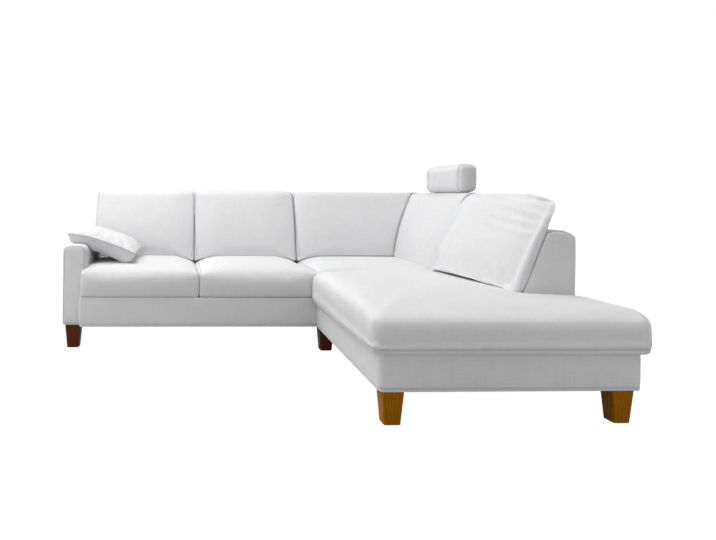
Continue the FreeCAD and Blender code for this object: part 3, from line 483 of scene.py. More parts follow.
class Finishes:
    """Every finish of the sofa, made once."""

    # The feet are one wood in two copies: the near feet's copy is lighter, painted light, and the
    # far feet's copy is darker, painted shade.
    PAINTED_LIGHT_FOOT = StainedWood("foot_honey", (0.42, 0.155, 0.0014), (0.19, 0.060, 0.0006))
    PAINTED_SHADE_FOOT = StainedWood("foot_walnut", (0.15, 0.043, 0.016), (0.052, 0.014, 0.006))
    FRAME_FINISHES = {
        "glide": Matt("glide_plastic", (0.09, 0.07, 0.06), (0.05, 0.04, 0.035), 300.0, 0.0003),
        "spring_steel": Steel("spring_wire", (0.33, 0.33, 0.35), 0.36),
        "zinc_steel": Steel("zinc_plate", (0.62, 0.63, 0.65), 0.34, 70.0),
        "stem_chrome": Steel("stem_chrome", (0.80, 0.80, 0.82), 0.08, 400.0),
        "sleeve_plastic": Matt("sleeve_plastic", (0.06, 0.06, 0.065), (0.03, 0.03, 0.033), 700.0,
                               0.0002, 0.45),
        "felt": Matt("spring_felt", (0.27, 0.27, 0.29), (0.17, 0.17, 0.19), 420.0, 0.0015, 0.9,
                     0.3),
        "lining": Matt("under_lining", (0.04, 0.04, 0.043), (0.02, 0.02, 0.022), 900.0, 0.0004,
                       0.85),
        "hardboard": PlainTimber("hardboard", (0.38, 0.24, 0.13), (0.24, 0.14, 0.07),
                                 (90.0, 90.0, 90.0)),
        "frame_wood": PlainTimber("frame_timber", (0.66, 0.49, 0.31), (0.45, 0.30, 0.16)),
    }

    def __init__(self) -> None:
        """Make the materials."""
        self.cover = WovenCover().make()
        self.seam = SeamThread().make()
        self.painted_light_foot = self.PAINTED_LIGHT_FOOT.make()
        self.painted_shade_foot = self.PAINTED_SHADE_FOOT.make()
        self.slots = {slot: finish.make() for slot, finish in self.FRAME_FINISHES.items()}


# Setting out


@dataclass(frozen=True)
class Plan:
    """The planes that the upholstery is set out from, read from the frame.

    A point of a leg is (s, u, z): s along the leg and u its depth, both from the corner where the
    inner side of the long unit meets the front of the seat unit.
    """

    corner: Vector
    gap: float
    base_bottom: float
    base_top: float
    back_foot: float
    back_top: float
    low_back_top: float
    low_back_rear: float
    lean_foot: float
    leg_depth: float
    near_end: float
    lean: float = 0.406
    seat_height: float = 0.151

    @classmethod
    def from_frame(cls) -> "Plan":
        """Read the planes from the frame's nodes.

        Returns:
            The plan.
        """
        long_low, long_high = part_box("long_base_cover")
        seat_low, seat_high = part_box("seat_base_cover")
        low_back_low, low_back_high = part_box("left_low_back_cover")
        cushion_low, cushion_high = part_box("right_back_cushion")
        gap = (long_low.x - seat_high.x) / 2
        corner = Vector((long_low.x - gap, seat_low.y, 0.0))
        return cls(
            corner=corner,
            gap=gap,
            base_bottom=seat_low.z,
            base_top=seat_high.z,
            back_foot=cushion_low.z,
            back_top=cushion_high.z,
            low_back_top=low_back_high.z,
            low_back_rear=low_back_high.y - corner.y,
            lean_foot=low_back_low.y - corner.y,
            leg_depth=long_high.x - corner.x,
            near_end=long_low.y - corner.y,
        )

    @property
    def seat_top(self) -> float:
        """Height of the seat cushions before they crown."""
        return self.base_top + self.seat_height

    def lean_at(self, z: np.ndarray | float) -> np.ndarray | float:
        """Depth of the low back's leaning front at height z."""
        return self.lean_foot + (z - self.base_top) * self.lean

    def placed(self, leg: Leg, co: np.ndarray | Sequence[Point]) -> np.ndarray:
        """Leg points in the row frame.

        Args:
            leg: the leg that the points are given on.
            co: rows of (s, u, z).

        Returns:
            Rows of (x, y, z).
        """
        s, u, z = np.asarray(co, float).T
        x, y = (s, u) if leg is Leg.REAR else (u, s)
        return np.column_stack((x + self.corner.x, y + self.corner.y, z))

    def spot(self, leg: Leg, s: float, u: float, z: float) -> Point:
        """One leg point in the row frame."""
        return tuple(self.placed(leg, [(s, u, z)])[0])

    def ends(self, node: str, leg: Leg) -> tuple[float, float]:
        """Where a node starts and ends along a leg.

        Args:
            node: the node's name.
            leg: the leg.

        Returns:
            Its start and its end.
        """
        low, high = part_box(node)
        if leg is Leg.REAR:
            return low.x - self.corner.x, high.x - self.corner.x
        return low.y - self.corner.y, high.y - self.corner.y


# Mesh work


def vertex_rows(piece: bpy.types.Object, name: str) -> np.ndarray:
    """One property of the mesh's vertices as rows.

    Args:
        piece: the piece.
        name: the property.

    Returns:
        A row for each vertex.
    """
    out = np.empty(len(piece.data.vertices) * 3, np.float32)
    piece.data.vertices.foreach_get(name, out)
    return out.reshape(-1, 3).astype(float)


def points(piece: bpy.types.Object) -> np.ndarray:
    """The mesh's vertices as rows."""
    return vertex_rows(piece, "co")


def normals(piece: bpy.types.Object) -> np.ndarray:
    """The mesh's vertex normals as rows."""
    return vertex_rows(piece, "normal")


def move_points(piece: bpy.types.Object, co: np.ndarray) -> None:
    """Give the mesh's vertices new places."""
    piece.data.vertices.foreach_set("co", co.astype(np.float32).ravel())
    piece.data.update()


def linked(name: str, data: bpy.types.ID) -> bpy.types.Object:
    """A new object of some data, linked to the scene.

    Args:
        name: the object's name.
        data: its data.

    Returns:
        The object.
    """
    made = bpy.data.objects.new(name, data)
    bpy.context.scene.collection.objects.link(made)
    return made


def new_piece(name: str, bm: bmesh.types.BMesh) -> bpy.types.Object:
    """Turn a bmesh into a linked object and free it.

    Args:
        name: the object's name.
        bm: its mesh.

    Returns:
        The object.
    """
    mesh = bpy.data.meshes.new(name)
    bm.to_mesh(mesh)
    bm.free()
    return linked(name, mesh)


def join(piece: bpy.types.Object, other: bpy.types.Object) -> None:
    """Add another object's mesh to a piece, which uses the other up."""
    with bpy.context.temp_override(active_object=piece, selected_editable_objects=[piece, other]):
        bpy.ops.object.join()


def evaluated_mesh(made: bpy.types.Object) -> bpy.types.Mesh:
    """A mesh of what an object's modifiers or bevel make of it."""
    graph = bpy.context.evaluated_depsgraph_get()
    return bpy.data.meshes.new_from_object(made.evaluated_get(graph))


def apply_modifiers(piece: bpy.types.Object) -> None:
    """Replace the mesh by what its modifiers make of it.

    Args:
        piece: the piece, whose mesh is replaced.
    """
    mesh = evaluated_mesh(piece)
    old = piece.data
    piece.modifiers.clear()
    piece.data = mesh
    bpy.data.meshes.remove(old)


def remesh(piece: bpy.types.Object, voxel: float) -> None:
    """Give the piece an even mesh, joining the closed forms it is made of.

    Args:
        piece: the piece, whose mesh is replaced.
        voxel: the size of the mesh's cells, in metres.
    """
    modifier = piece.modifiers.new("Even mesh", "REMESH")
    modifier.mode = "VOXEL"
    modifier.voxel_size = voxel
    modifier.use_smooth_shade = True
    apply_modifiers(piece)


def subdivide(piece: bpy.types.Object) -> None:
    """Apply one level of subdivision surface.

    Args:
        piece: the piece, whose mesh is replaced.
    """
    modifier = piece.modifiers.new("Finer", "SUBSURF")
    modifier.levels = 1
    modifier.render_levels = 1
    apply_modifiers(piece)


def relax(piece: bpy.types.Object, rounds: int, factor: float = 0.5) -> None:
    """Smooth the whole mesh a few times.

    Args:
        piece: the piece.
        rounds: how many times.
        factor: how far, from 0 to 1.
    """
    bm = bmesh.new()
    bm.from_mesh(piece.data)
    for _ in range(rounds):
        bmesh.ops.smooth_vert(bm, verts=bm.verts, factor=factor, use_axis_x=True, use_axis_y=True,
                              use_axis_z=True)
    bm.to_mesh(piece.data)
    bm.free()


def shade_smooth(piece: bpy.types.Object) -> None:
    """Shade every face smoothly."""
    piece.data.polygons.foreach_set("use_smooth", [True] * len(piece.data.polygons))


def add_block(bm: bmesh.types.BMesh, low: Sequence[float],
              high: Sequence[float]) -> list[bmesh.types.BMVert]:
    """Add a box between two corners and return its vertices.

    Args:
        bm: the bmesh that it is added to.
        low: its lowest corner.
        high: its highest corner.

    Returns:
        Its vertices.
    """
    size = [b - a for a, b in zip(low, high)]
    middle = [(a + b) / 2 for a, b in zip(low, high)]
    matrix = Matrix.Translation(middle) @ Matrix.Diagonal((*size, 1.0))
    return bmesh.ops.create_cube(bm, size=1.0, matrix=matrix)["verts"]


def add_pillow(bm: bmesh.types.BMesh, low: Vector, high: Vector, radius: Vector,
               cuts: int = 30) -> None:
    """Add a box whose edges and corners are rounded by a radius along each axis.

    Args:
        bm: an empty bmesh.
        low: the box's lowest corner.
        high: its highest corner.
        radius: the radius along each axis.
        cuts: how finely each edge is divided.
    """
    verts = add_block(bm, low, high)
    edges = list({edge for vert in verts for edge in vert.link_edges})
    bmesh.ops.subdivide_edges(bm, edges=edges, cuts=cuts, use_grid_fill=True)
    for vert in bm.verts:
        inner = Vector(min(max(c, a + r), b - r)
                       for c, a, b, r in zip(vert.co, low, high, radius))
        away = Vector((c - i) / r for c, i, r in zip(vert.co, inner, radius))
        if away.length > 1e-9:
            away.normalize()
        vert.co = inner + Vector(a * r for a, r in zip(away, radius))


def lies_along(way: float) -> bool:
    """Whether an edge runs along an axis, by its direction's share of that axis."""
    return abs(way) > 0.9


def bevel(bm: bmesh.types.BMesh, geom: list, radius: float, segments: int,
          affect: str = "EDGES") -> None:
    """Round edges, or corners, by a radius.

    Args:
        bm: the bmesh.
        geom: its edges, or its vertices.
        radius: the radius.
        segments: how many faces the round has.
        affect: EDGES or VERTICES.
    """
    bmesh.ops.bevel(bm, geom=geom, offset=radius, offset_type="OFFSET", affect=affect,
                    segments=segments, profile=0.5, material=-1, clamp_overlap=affect == "EDGES")


def round_edges(bm: bmesh.types.BMesh, chosen: Callable[[Vector, Vector], bool], radius: float,
                segments: int) -> None:
    """Round the edges whose middle and direction pass a test.

    Args:
        bm: the bmesh.
        chosen: the test.
        radius: the radius.
        segments: how many faces the round has.
    """
    edges = []
    for edge in bm.edges:
        a, b = edge.verts
        if chosen((a.co + b.co) / 2, (b.co - a.co).normalized()):
            edges.append(edge)
    bevel(bm, edges, radius, segments)


def round_sharp(bm: bmesh.types.BMesh, radius: float, segments: int = 3,
                angle: float = 1.0) -> None:
    """Round every edge that is still sharper than an angle.

    Args:
        bm: the bmesh.
        radius: the radius.
        segments: how many faces the round has.
        angle: the angle, in radians.
    """
    edges = [e for e in bm.edges if e.is_manifold and e.calc_face_angle() > angle]
    bevel(bm, edges, radius, segments)


def extruded(bm: bmesh.types.BMesh, ring: Sequence[Vector], way: Vector) -> None:
    """Add a closed prism: a face through the ring, extruded.

    Args:
        bm: the bmesh that it is added to.
        ring: the corners of its end.
        way: from one end to the other.
    """
    face = bm.faces.new([bm.verts.new(point) for point in ring])
    grown = bmesh.ops.extrude_face_region(bm, geom=[face], use_keep_orig=True)["geom"]
    bmesh.ops.translate(bm, verts=[v for v in grown if isinstance(v, bmesh.types.BMVert)], vec=way)
    bmesh.ops.recalc_face_normals(bm, faces=bm.faces)


def cut_away(piece: bpy.types.Object, point: Vector, normal: Vector) -> None:
    """Cut off what lies beyond a plane and close the cut.

    Args:
        piece: the piece.
        point: a point on the plane.
        normal: the way to what is cut off.
    """
    bm = bmesh.new()
    bm.from_mesh(piece.data)
    cut = bmesh.ops.bisect_plane(bm, geom=bm.verts[:] + bm.edges[:] + bm.faces[:], plane_co=point,
                                 plane_no=normal, clear_outer=True)["geom_cut"]
    edges = [e for e in cut if isinstance(e, bmesh.types.BMEdge)]
    bmesh.ops.holes_fill(bm, edges=edges, sides=0)
    bmesh.ops.triangulate(bm, faces=[f for f in bm.faces if len(f.verts) > 4])
    bm.to_mesh(piece.data)
    bm.free()


def noise_at(spots: Iterable[Sequence[float]]) -> np.ndarray:
    """Smooth noise from -1 to 1 at each spot."""
    return np.array([noise.noise(Vector(spot)) for spot in spots])


def wander(co: np.ndarray, scale: float, seed: float) -> np.ndarray:
    """Smooth noise over a piece's points, so that cloth isn't dead flat."""
    shift = Vector((seed, seed * 0.37, -seed * 0.71))
    return noise_at(Vector(p) * scale + shift for p in co)


def unit(value: np.ndarray) -> np.ndarray:
    """Numbers held between 0 and 1."""
    return np.clip(value, 0.0, 1.0)


def arch(share: np.ndarray) -> np.ndarray:
    """0 at shares 0 and 1, rising to 1 halfway."""
    return np.sin(math.pi * share)


def bell(distance: np.ndarray, reach: float) -> np.ndarray:
    """1 at a distance of 0, fading evenly on both sides."""
    return np.exp(-((distance / reach) ** 2))


def fading(distance: np.ndarray, reach: float) -> np.ndarray:
    """1 at a distance of 0 and before it, fading beyond."""
    return np.exp(-unit(distance) / reach)


def quarter(share: np.ndarray) -> np.ndarray:
    """A share from 0 to 1, bent to a quarter of a circle that rises late."""
    return 1 - np.sqrt(1 - share ** 2)


def seam_fade(distance: np.ndarray, reach: float) -> np.ndarray:
    """0 at a seam, rising to 1 away from it."""
    return 1.0 - np.exp(-np.maximum(distance, 0.0) / reach)


def arc(centre: tuple[float, float], radius: float, first: int, last: int,
        step: int = 15) -> list[tuple[float, float]]:
    """Points on an arc between two angles, in degrees.

    Args:
        centre: the arc's centre.
        radius: its radius.
        first: the angle that it starts at.
        last: the angle that it ends at, which may be the smaller.
        step: the angle from one point to the next.

    Returns:
        The points, both ends with them.
    """
    way = 1 if last > first else -1
    angles = [math.radians(degrees) for degrees in range(first, last + way, way * step)]
    return [(centre[0] + radius * math.cos(a), centre[1] + radius * math.sin(a)) for a in angles]


# Cloth and seams


@dataclass(frozen=True)
class Rest:
    """A plane that a soft piece lies flat against: a point on it and the way out of the piece."""

    point: Point
    out: Point

    def press(self, co: np.ndarray) -> np.ndarray:
        """Move what has passed the plane back onto it.

        Args:
            co: points.

        Returns:
            The points, none of them beyond the plane.
        """
        normal = np.array(self.out) / np.linalg.norm(self.out)
        beyond = np.maximum((co - np.array(self.point)) @ normal, 0.0)
        return co - beyond[:, None] * normal


@dataclass(frozen=True)
class Stuffing:
    """How a piece is filled and covered, for the simulation.

    The pressure is that of the air in it, the cap is how far its cloth may move, in metres, and the
    slack is the share by which the cloth is cut too large.
    """

    pressure: float = 4.0
    cap: float = 0.010
    slack: float = 0.0
    bending: float = 0.5
    stiffness: float = 15.0


@dataclass
class Hung:
    """A piece that waits for the simulation."""

    piece: bpy.types.Object
    stuffing: Stuffing
    start: np.ndarray
    rests: list[Rest] = field(default_factory=list)


class ClothRoom:
    """Simulates the cloth of every cushion at once, so the frames are stepped through one time."""

    FRAMES = 20
    QUALITY = 5
    CLOTH_MASS = 0.3

    def __init__(self) -> None:
        """Start with nothing hung."""
        self.hung: list[Hung] = []

    def hang(self, piece: bpy.types.Object, stuffing: Stuffing, held: np.ndarray,
             rests: Iterable[Rest] = ()) -> None:
        """Ready a piece for the simulation.

        Args:
            piece: the even-meshed blank.
            stuffing: how it is filled.
            held: one flag for each vertex, true where the cloth is tacked down or sewn.
            rests: planes that it lies against.
        """
        self.hung.append(Hung(piece, stuffing, points(piece), list(rests)))
        group = piece.vertex_groups.new(name="held")
        group.add([int(i) for i in np.flatnonzero(held)], 1.0, "REPLACE")
        modifier = piece.modifiers.new("Cloth", "CLOTH")
        cloth = modifier.settings
        cloth.quality = self.QUALITY
        cloth.mass = self.CLOTH_MASS
        cloth.tension_stiffness = stuffing.stiffness
        cloth.compression_stiffness = stuffing.stiffness
        cloth.shear_stiffness = stuffing.stiffness / 3
        cloth.bending_stiffness = stuffing.bending
        cloth.use_pressure = True
        cloth.uniform_pressure_force = stuffing.pressure
        cloth.shrink_min = -stuffing.slack
        cloth.vertex_group_mass = group.name
        cloth.effector_weights.gravity = 0.0
        modifier.collision_settings.use_collision = False
        modifier.point_cache.frame_start = 1
        modifier.point_cache.frame_end = self.FRAMES

    def run(self) -> None:
        """Step through the frames, then fix each piece's shape."""
        for number in range(1, self.FRAMES + 1):
            bpy.context.scene.frame_set(number)
        for item in self.hung:
            apply_modifiers(item.piece)
            item.piece.vertex_groups.clear()
        bpy.context.scene.frame_set(1)
        for item in self.hung:
            moved = points(item.piece) - item.start
            length = np.linalg.norm(moved, axis=1, keepdims=True)
            moved *= np.minimum(1.0, item.stuffing.cap / np.maximum(length, 1e-9))
            co = item.start + moved
            for rest in item.rests:
                co = rest.press(co)
            move_points(item.piece, co)


@dataclass(frozen=True)
class SeamLine:
    """A sewn seam that follows a route near a piece's surface."""

    route: Sequence[Point]
    closed: bool = False

    def samples(self, step: float) -> list[Vector]:
        """Points along the route, about a step apart.

        Args:
            step: the distance, in metres.

        Returns:
            The points, in order.
        """
        corners = [Vector(p) for p in self.route]
        if self.closed:
            corners.append(corners[0])
        out = []
        for a, b in zip(corners, corners[1:]):
            count = max(1, round((b - a).length / step))
            out += [a.lerp(b, i / count) for i in range(count)]
        out.append(corners[-1])
        return out


def seam_through(route: np.ndarray, closed: bool = False) -> SeamLine:
    """A seam through rows of points."""
    return SeamLine(tuple(map(tuple, route)), closed)


class Seamstress:
    """Presses seams into a piece and lays the sewn edges along them.

    The ridges are CORD thick, SPREAD aside of the seam and sunk by SUNK of its depth.
    """

    STEP = 0.006
    WIDTH = 0.0055
    DEPTH = 0.0022
    CORD = 0.0014
    SPREAD = 0.0021
    SUNK = 0.75

    def __init__(self, finishes: Finishes) -> None:
        """Keep the finishes."""
        self.finishes = finishes

    def sew(self, piece: bpy.types.Object, seams: Sequence[SeamLine],
            depth: float) -> bpy.types.Object | None:
        """Press each seam into the piece and lay a pair of fine ridges along it.

        Args:
            piece: the dense final mesh.
            seams: routes, which are moved onto its surface.
            depth: how deep the seam is drawn in.

        Returns:
            The ridges as one piece, or None without seams.
        """
        if not seams:
            return None
        tree = BVHTree.FromPolygons([v.co for v in piece.data.vertices],
                                    [tuple(f.vertices) for f in piece.data.polygons])
        lines = [[tree.find_nearest(point)[:2] for point in seam.samples(self.STEP)]
                 for seam in seams]
        near = KDTree(sum(len(line) for line in lines))
        for i, (spot, _) in enumerate(entry for line in lines for entry in line):
            near.insert(spot, i)
        near.balance()
        co = points(piece)
        away = np.array([near.find(p)[2] for p in co])
        move_points(piece, co - normals(piece) * (depth * bell(away, self.WIDTH))[:, None])
        return self.ridges(piece.name + "_seams", lines, depth)

    def ridges(self, name: str, lines: list[list[tuple[Vector, Vector]]],
               depth: float) -> bpy.types.Object:
        """Lay two fine ridges beside each seam, as one mesh.

        Args:
            name: the name of the mesh.
            lines: for each seam, its spots on the surface and the surface's normals there.
            depth: how deep the seams are drawn in.

        Returns:
            The ridges.
        """
        data = bpy.data.curves.new(name, "CURVE")
        data.dimensions = "3D"
        data.bevel_depth = self.CORD
        data.bevel_resolution = 1
        for line in lines:
            spots = [spot for spot, _ in line]
            for side in (-1, 1):
                spline = data.splines.new("POLY")
                spline.points.add(len(line) - 1)
                for i, (spot, normal) in enumerate(line):
                    along = spots[min(i + 1, len(spots) - 1)] - spots[max(i - 1, 0)]
                    across = along.cross(normal).normalized() * self.SPREAD * side
                    place = spot + across - normal * depth * self.SUNK
                    spline.points[i].co = (*place, 1.0)
        curve = linked(name + "_route", data)
        mesh = evaluated_mesh(curve)
        mesh.name = name
        bpy.data.objects.remove(curve)
        bpy.data.curves.remove(data)
        piece = linked(name, mesh)
        mesh.materials.clear()
        mesh.materials.append(self.finishes.seam)
        shade_smooth(piece)
        return piece


@dataclass
class Workshop:
    """What every sub-assembly needs: the plan, the finishes, the cloth room and the seamstress."""

    plan: Plan
    finishes: Finishes
    room: ClothRoom
    seamstress: Seamstress

    def dress(self, piece: bpy.types.Object, body: Body, nodes: Sequence[str],
              seams: Sequence[SeamLine], fill: float = 0.8,
              depth: float = Seamstress.DEPTH) -> None:
        """Finish a padded piece: its seams, cloth, body and the nodes it stands for.

        Args:
            piece: the dense final mesh.
            body: the body that it rides on.
            nodes: the nodes that it replaces.
            seams: its seams.
            fill: how full it is; not used.
            depth: how deep its seams are drawn in.
        """
        ridges = self.seamstress.sew(piece, seams, depth)
        piece.data.materials.clear()
        piece.data.materials.append(self.finishes.cover)
        shade_smooth(piece)
        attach(piece, body.value)
        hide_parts(*nodes)
        if ridges is not None:
            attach(ridges, body.value)
        log.info("%s: %d faces", piece.name, len(piece.data.polygons))


@dataclass
class Assembly:
    """A sub-assembly of the sofa, made in two steps with the simulation between them."""

    shop: Workshop

    def shape(self) -> None:
        """Make the blank and hang it, where a piece is simulated."""

    def dress(self) -> None:
        """Finish the pieces."""
        raise NotImplementedError


# Seats

SEAT_STUFFING = Stuffing(cap=0.008)


@dataclass
class SeatCushion(Assembly):
    """A fixed seat cushion between two seams, crowned, with a full rounded front.

    It runs from start to end along the rear leg. The seam between the two seats, at split, is led
    aside by skew towards the backs.
    """

    node: str
    start: float
    end: float
    front: float = 0.0
    right_leans: bool = False
    split: float | None = None
    skew: float = 0.024
    skew_reach: float = 0.22
    edge_radius: float = 0.034
    sharp_radius: float = 0.006
    left_corner: float = 0.0
    left_draw: float = 1.0
    front_drop: float = 0.013
    rear_drop: float = 0.036
    crown: float = 0.012
    rear_rise: float = 0.008
    bulge: float = 0.009
    bulge_reach: float = 0.03
    seam_inset: float = 0.004
    seam_reach: float = 0.050
    voxel: float = 0.010

    def shape(self) -> None:
        """Make the blank and hang it."""
        plan = self.shop.plan
        bottom, top = plan.base_top, plan.seat_top
        if self.right_leans:
            self.end = plan.lean_at(top)
        bm = bmesh.new()
        add_block(bm, (self.start, self.front, bottom), (self.end, plan.lean_at(bottom), top))
        for v in bm.verts:
            if v.co.y > self.front + 0.1:
                v.co.y = plan.lean_at(v.co.z)
            if self.right_leans and v.co.x > self.start + 0.1:
                v.co.x = plan.lean_at(v.co.z)
        round_edges(bm, lambda m, d: (lies_along(d.x) and m.y < self.front + 0.01
                                      and m.z > top - 0.01), self.edge_radius, 8)
        if self.left_corner:
            round_edges(bm, self.is_left_corner, self.left_corner, 5)
        round_sharp(bm, self.sharp_radius)
        self.piece = new_piece(self.node.replace("_cushion", "_pad"), bm)
        remesh(self.piece, self.voxel)
        co = points(self.piece)
        full = self.swollen(co)
        held = full[:, 2] < bottom + TACKED_FOOT
        held |= full[:, 1] > plan.lean_at(full[:, 2]) - TACKED_REAR
        held |= self.edge_distance(co) < TACKED_END
        move_points(self.piece, plan.placed(Leg.REAR, full))
        rests = [Rest((0.0, 0.0, bottom), (0.0, 0.0, -1.0)),
                 Rest((plan.corner.x + self.start, 0.0, 0.0), (-1.0, 0.0, 0.0))]
        if not self.right_leans:
            rests.append(Rest((plan.corner.x + self.end, 0.0, 0.0), (1.0, 0.0, 0.0)))
        self.shop.room.hang(self.piece, SEAT_STUFFING, held, rests)

    def is_left_corner(self, middle: Vector, way: Vector) -> bool:
        """Whether an edge is one of those round the front of the left end."""
        return middle.x < self.start + HAIR and abs(way.x) < 0.1 and middle.y < self.front + 0.06

    def edge_distance(self, co: np.ndarray) -> np.ndarray:
        """How far each point is from the nearer side seam."""
        left = co[:, 0] - self.start
        return left if self.right_leans else np.minimum(left, self.end - co[:, 0])

    def swollen(self, co: np.ndarray) -> np.ndarray:
        """The blank crowned between its seams.

        Args:
            co: the blank's points.

        Returns:
            The swollen points.
        """
        plan = self.shop.plan
        bottom, top = plan.base_top, plan.seat_top
        out = co.copy()
        full = seam_fade(self.edge_distance(co), self.seam_reach)
        at_left = co[:, 0] < (self.start + self.end) / 2
        full[at_left] = 1 - (1 - full[at_left]) * self.left_draw
        deep = unit((co[:, 1] - self.front) / (plan.lean_at(top) - self.front))
        high = unit((co[:, 2] - bottom) / (top - bottom))
        drop = self.front_drop + (self.rear_drop - self.front_drop) * deep
        out[:, 2] += high * (self.crown * full * arch(deep ** 0.7) + self.rear_rise * full * deep
                             - drop * (1 - full))
        belly = self.bulge * full * arch(high)
        out[:, 1] += (fading(co[:, 1] - self.front, self.bulge_reach)
                      * (self.seam_inset * (1 - full) - belly))
        return out

    def skewed(self, co: np.ndarray) -> np.ndarray:
        """Row frame points, with the seam between the two seats led aside towards the backs.

        Args:
            co: points in the row frame.

        Returns:
            The moved points.
        """
        if self.split is None:
            return co
        plan = self.shop.plan
        deep = unit((co[:, 1] - plan.corner.y) / plan.lean_at(plan.seat_top))
        near = bell(co[:, 0] - plan.corner.x - self.split, self.skew_reach)
        out = co.copy()
        out[:, 0] -= self.skew * deep * near
        return out

    def dress(self) -> None:
        """Finish the simulated pad."""
        move_points(self.piece, self.skewed(points(self.piece)))
        subdivide(self.piece)
        plan = self.shop.plan
        top = plan.seat_top
        sides = [self.start + self.seam_inset]
        if not self.right_leans:
            sides.append(self.end - self.seam_inset)
        seams = []
        for s in sides:
            route = [(s, self.front + 0.02, top - 0.02), (s, self.front + 0.05, top),
                     (s, plan.lean_at(top), top)]
            seams.append(seam_through(self.skewed(plan.placed(Leg.REAR, route))))
        self.shop.dress(self.piece, Body.SOFA, [self.node], seams, 0.85, 0.0012)


@dataclass
class ChaiseCushion(Assembly):
    """The long seat of the chaise, which overhangs its base on three sides.

    Past the low back's end, which slope_from and bulge_from stand for, its right side is free.
    """

    left_overhang: float = 0.032
    right_overhang: float = 0.045
    end_overhang: float = 0.025
    lip_drop: float = 0.021
    lip_fall: float = 0.006
    lip_gap: float = 0.0006
    edge_radius: float = 0.038
    lip_radius: float = 0.024
    sharp_radius: float = 0.012
    end_slope: float = 0.030
    side_slope: float = 0.022
    slope_from: float = -0.68
    slope_run: float = 0.10
    corner_radius: float = 0.050
    bulge: float = 0.008
    bulge_from: float = -0.77
    bulge_reach: float = 0.03
    crown: float = 0.013
    seam_drop: float = 0.016
    seam_reach: float = 0.055
    seam_inset: float = 0.014
    hem: float = 0.020
    voxel: float = 0.011

    def __post_init__(self) -> None:
        """Set out its edges from the plan."""
        plan = self.shop.plan
        self.lip = plan.base_top - self.lip_drop
        self.near = plan.near_end - self.end_overhang
        self.left = -self.left_overhang
        self.right = plan.leg_depth + self.right_overhang
        self.low_back_end = plan.ends("corner_low_back_cover", Leg.SIDE)[0]

    def shape(self) -> None:
        """Make the blank and hang it."""
        plan = self.shop.plan
        wide = self.wide_part()
        self.piece = self.rear_part()
        join(self.piece, wide)
        remesh(self.piece, self.voxel)
        self.cut_base_room()
        remesh(self.piece, self.voxel)
        co = points(self.piece)
        full = self.swollen(co)
        held = full[:, 2] < plan.base_top + TACKED_FOOT
        held |= co[:, 1] > -SEAM_GAP - TACKED_END
        held |= ((co[:, 0] > plan.lean_at(co[:, 2]) - TACKED_REAR)
                 & (co[:, 1] > self.low_back_end + 0.02))
        move_points(self.piece, plan.placed(Leg.REAR, full))
        self.shop.room.hang(self.piece, SEAT_STUFFING, held,
                            [Rest((0.0, plan.corner.y - SEAM_GAP, 0.0), (0.0, 1.0, 0.0))])

    def wide_part(self) -> bpy.types.Object:
        """The near part, as wide as the base and its overhangs.

        Returns:
            The part.
        """
        top = self.shop.plan.seat_top
        free = self.low_back_end - 0.01
        bm = bmesh.new()
        add_block(bm, (self.left, self.near, self.lip),
                  (self.right, self.low_back_end - 0.0016, top))
        round_edges(bm, lambda m, d: lies_along(d.z) and m.y < self.near + 0.01,
                    self.corner_radius, 8)
        round_edges(bm, lambda m, d: m.z > top - HAIR and m.y < free, self.edge_radius, 8)
        round_edges(bm, lambda m, d: m.z < self.lip + HAIR and m.y < free, self.lip_radius, 5)
        round_sharp(bm, self.sharp_radius)
        return new_piece("chaise_wide", bm)

    def rear_part(self) -> bpy.types.Object:
        """The part that runs back beside the leaning low back, as far as the corner seat.

        Returns:
            The part.
        """
        plan = self.shop.plan
        top = plan.seat_top
        bm = bmesh.new()
        add_block(bm, (self.left, self.near + 0.15, self.lip),
                  (plan.lean_at(self.lip), -SEAM_GAP, top))
        for v in bm.verts:
            if v.co.x > 0.3:
                v.co.x = plan.lean_at(v.co.z)
        round_edges(bm, lambda m, d: lies_along(d.y) and m.z > top - HAIR and m.x < 0.0,
                    self.edge_radius, 8)
        round_sharp(bm, self.sharp_radius)
        return new_piece("chaise_seat_pad", bm)

    def cut_base_room(self) -> None:
        """Cut away the room of the base, over which the lip hangs."""
        plan = self.shop.plan
        gap = self.lip_gap
        base = bmesh.new()
        add_block(base, (-gap, plan.near_end - gap, 0.0),
                  (plan.leg_depth + gap, plan.leg_depth, plan.base_top))
        tool = new_piece("base_room", base)
        modifier = self.piece.modifiers.new("Seat on base", "BOOLEAN")
        modifier.operation = "DIFFERENCE"
        modifier.object = tool
        modifier.solver = "EXACT"
        apply_modifiers(self.piece)
        bpy.data.objects.remove(tool)

    def swollen(self, co: np.ndarray) -> np.ndarray:
        """The blank crowned from its ends and sides, and drawn in at the corner seat's seam.

        Args:
            co: the blank's points.

        Returns:
            The swollen points.
        """
        plan = self.shop.plan
        top, near, left, right = plan.seat_top, self.near, self.left, self.right
        x, y, z = co.T
        out = co.copy()
        full = seam_fade(-SEAM_GAP - y, self.seam_reach)
        high = unit((z - plan.base_top) / (top - plan.base_top))
        across = unit((x - left) / (plan.lean_at(top) - left))
        along = unit((y - near) / (-SEAM_GAP - near))
        rise = self.crown * arch(across ** 0.8) * arch(np.minimum(along * 1.6, 0.5))
        free = unit((self.slope_from - y) / self.slope_run)
        slope = np.maximum(self.end_slope * fading(y - near, 0.12),
                           self.side_slope * fading(right - x, 0.20) * free)
        out[:, 2] += high * (rise * full - self.seam_drop * (1 - full) - slope)
        out[:, 2] -= self.lip_fall * unit(x / right) * (z < plan.base_top - 0.002) * free
        wave = arch(high)
        bulging = y < self.bulge_from
        out[:, 1] -= self.bulge * wave * fading(y - near, self.bulge_reach)
        out[:, 0] -= self.bulge * wave * fading(x - left, self.bulge_reach) * full
        out[:, 0] += self.bulge * wave * fading(right - x, self.bulge_reach) * bulging
        return out

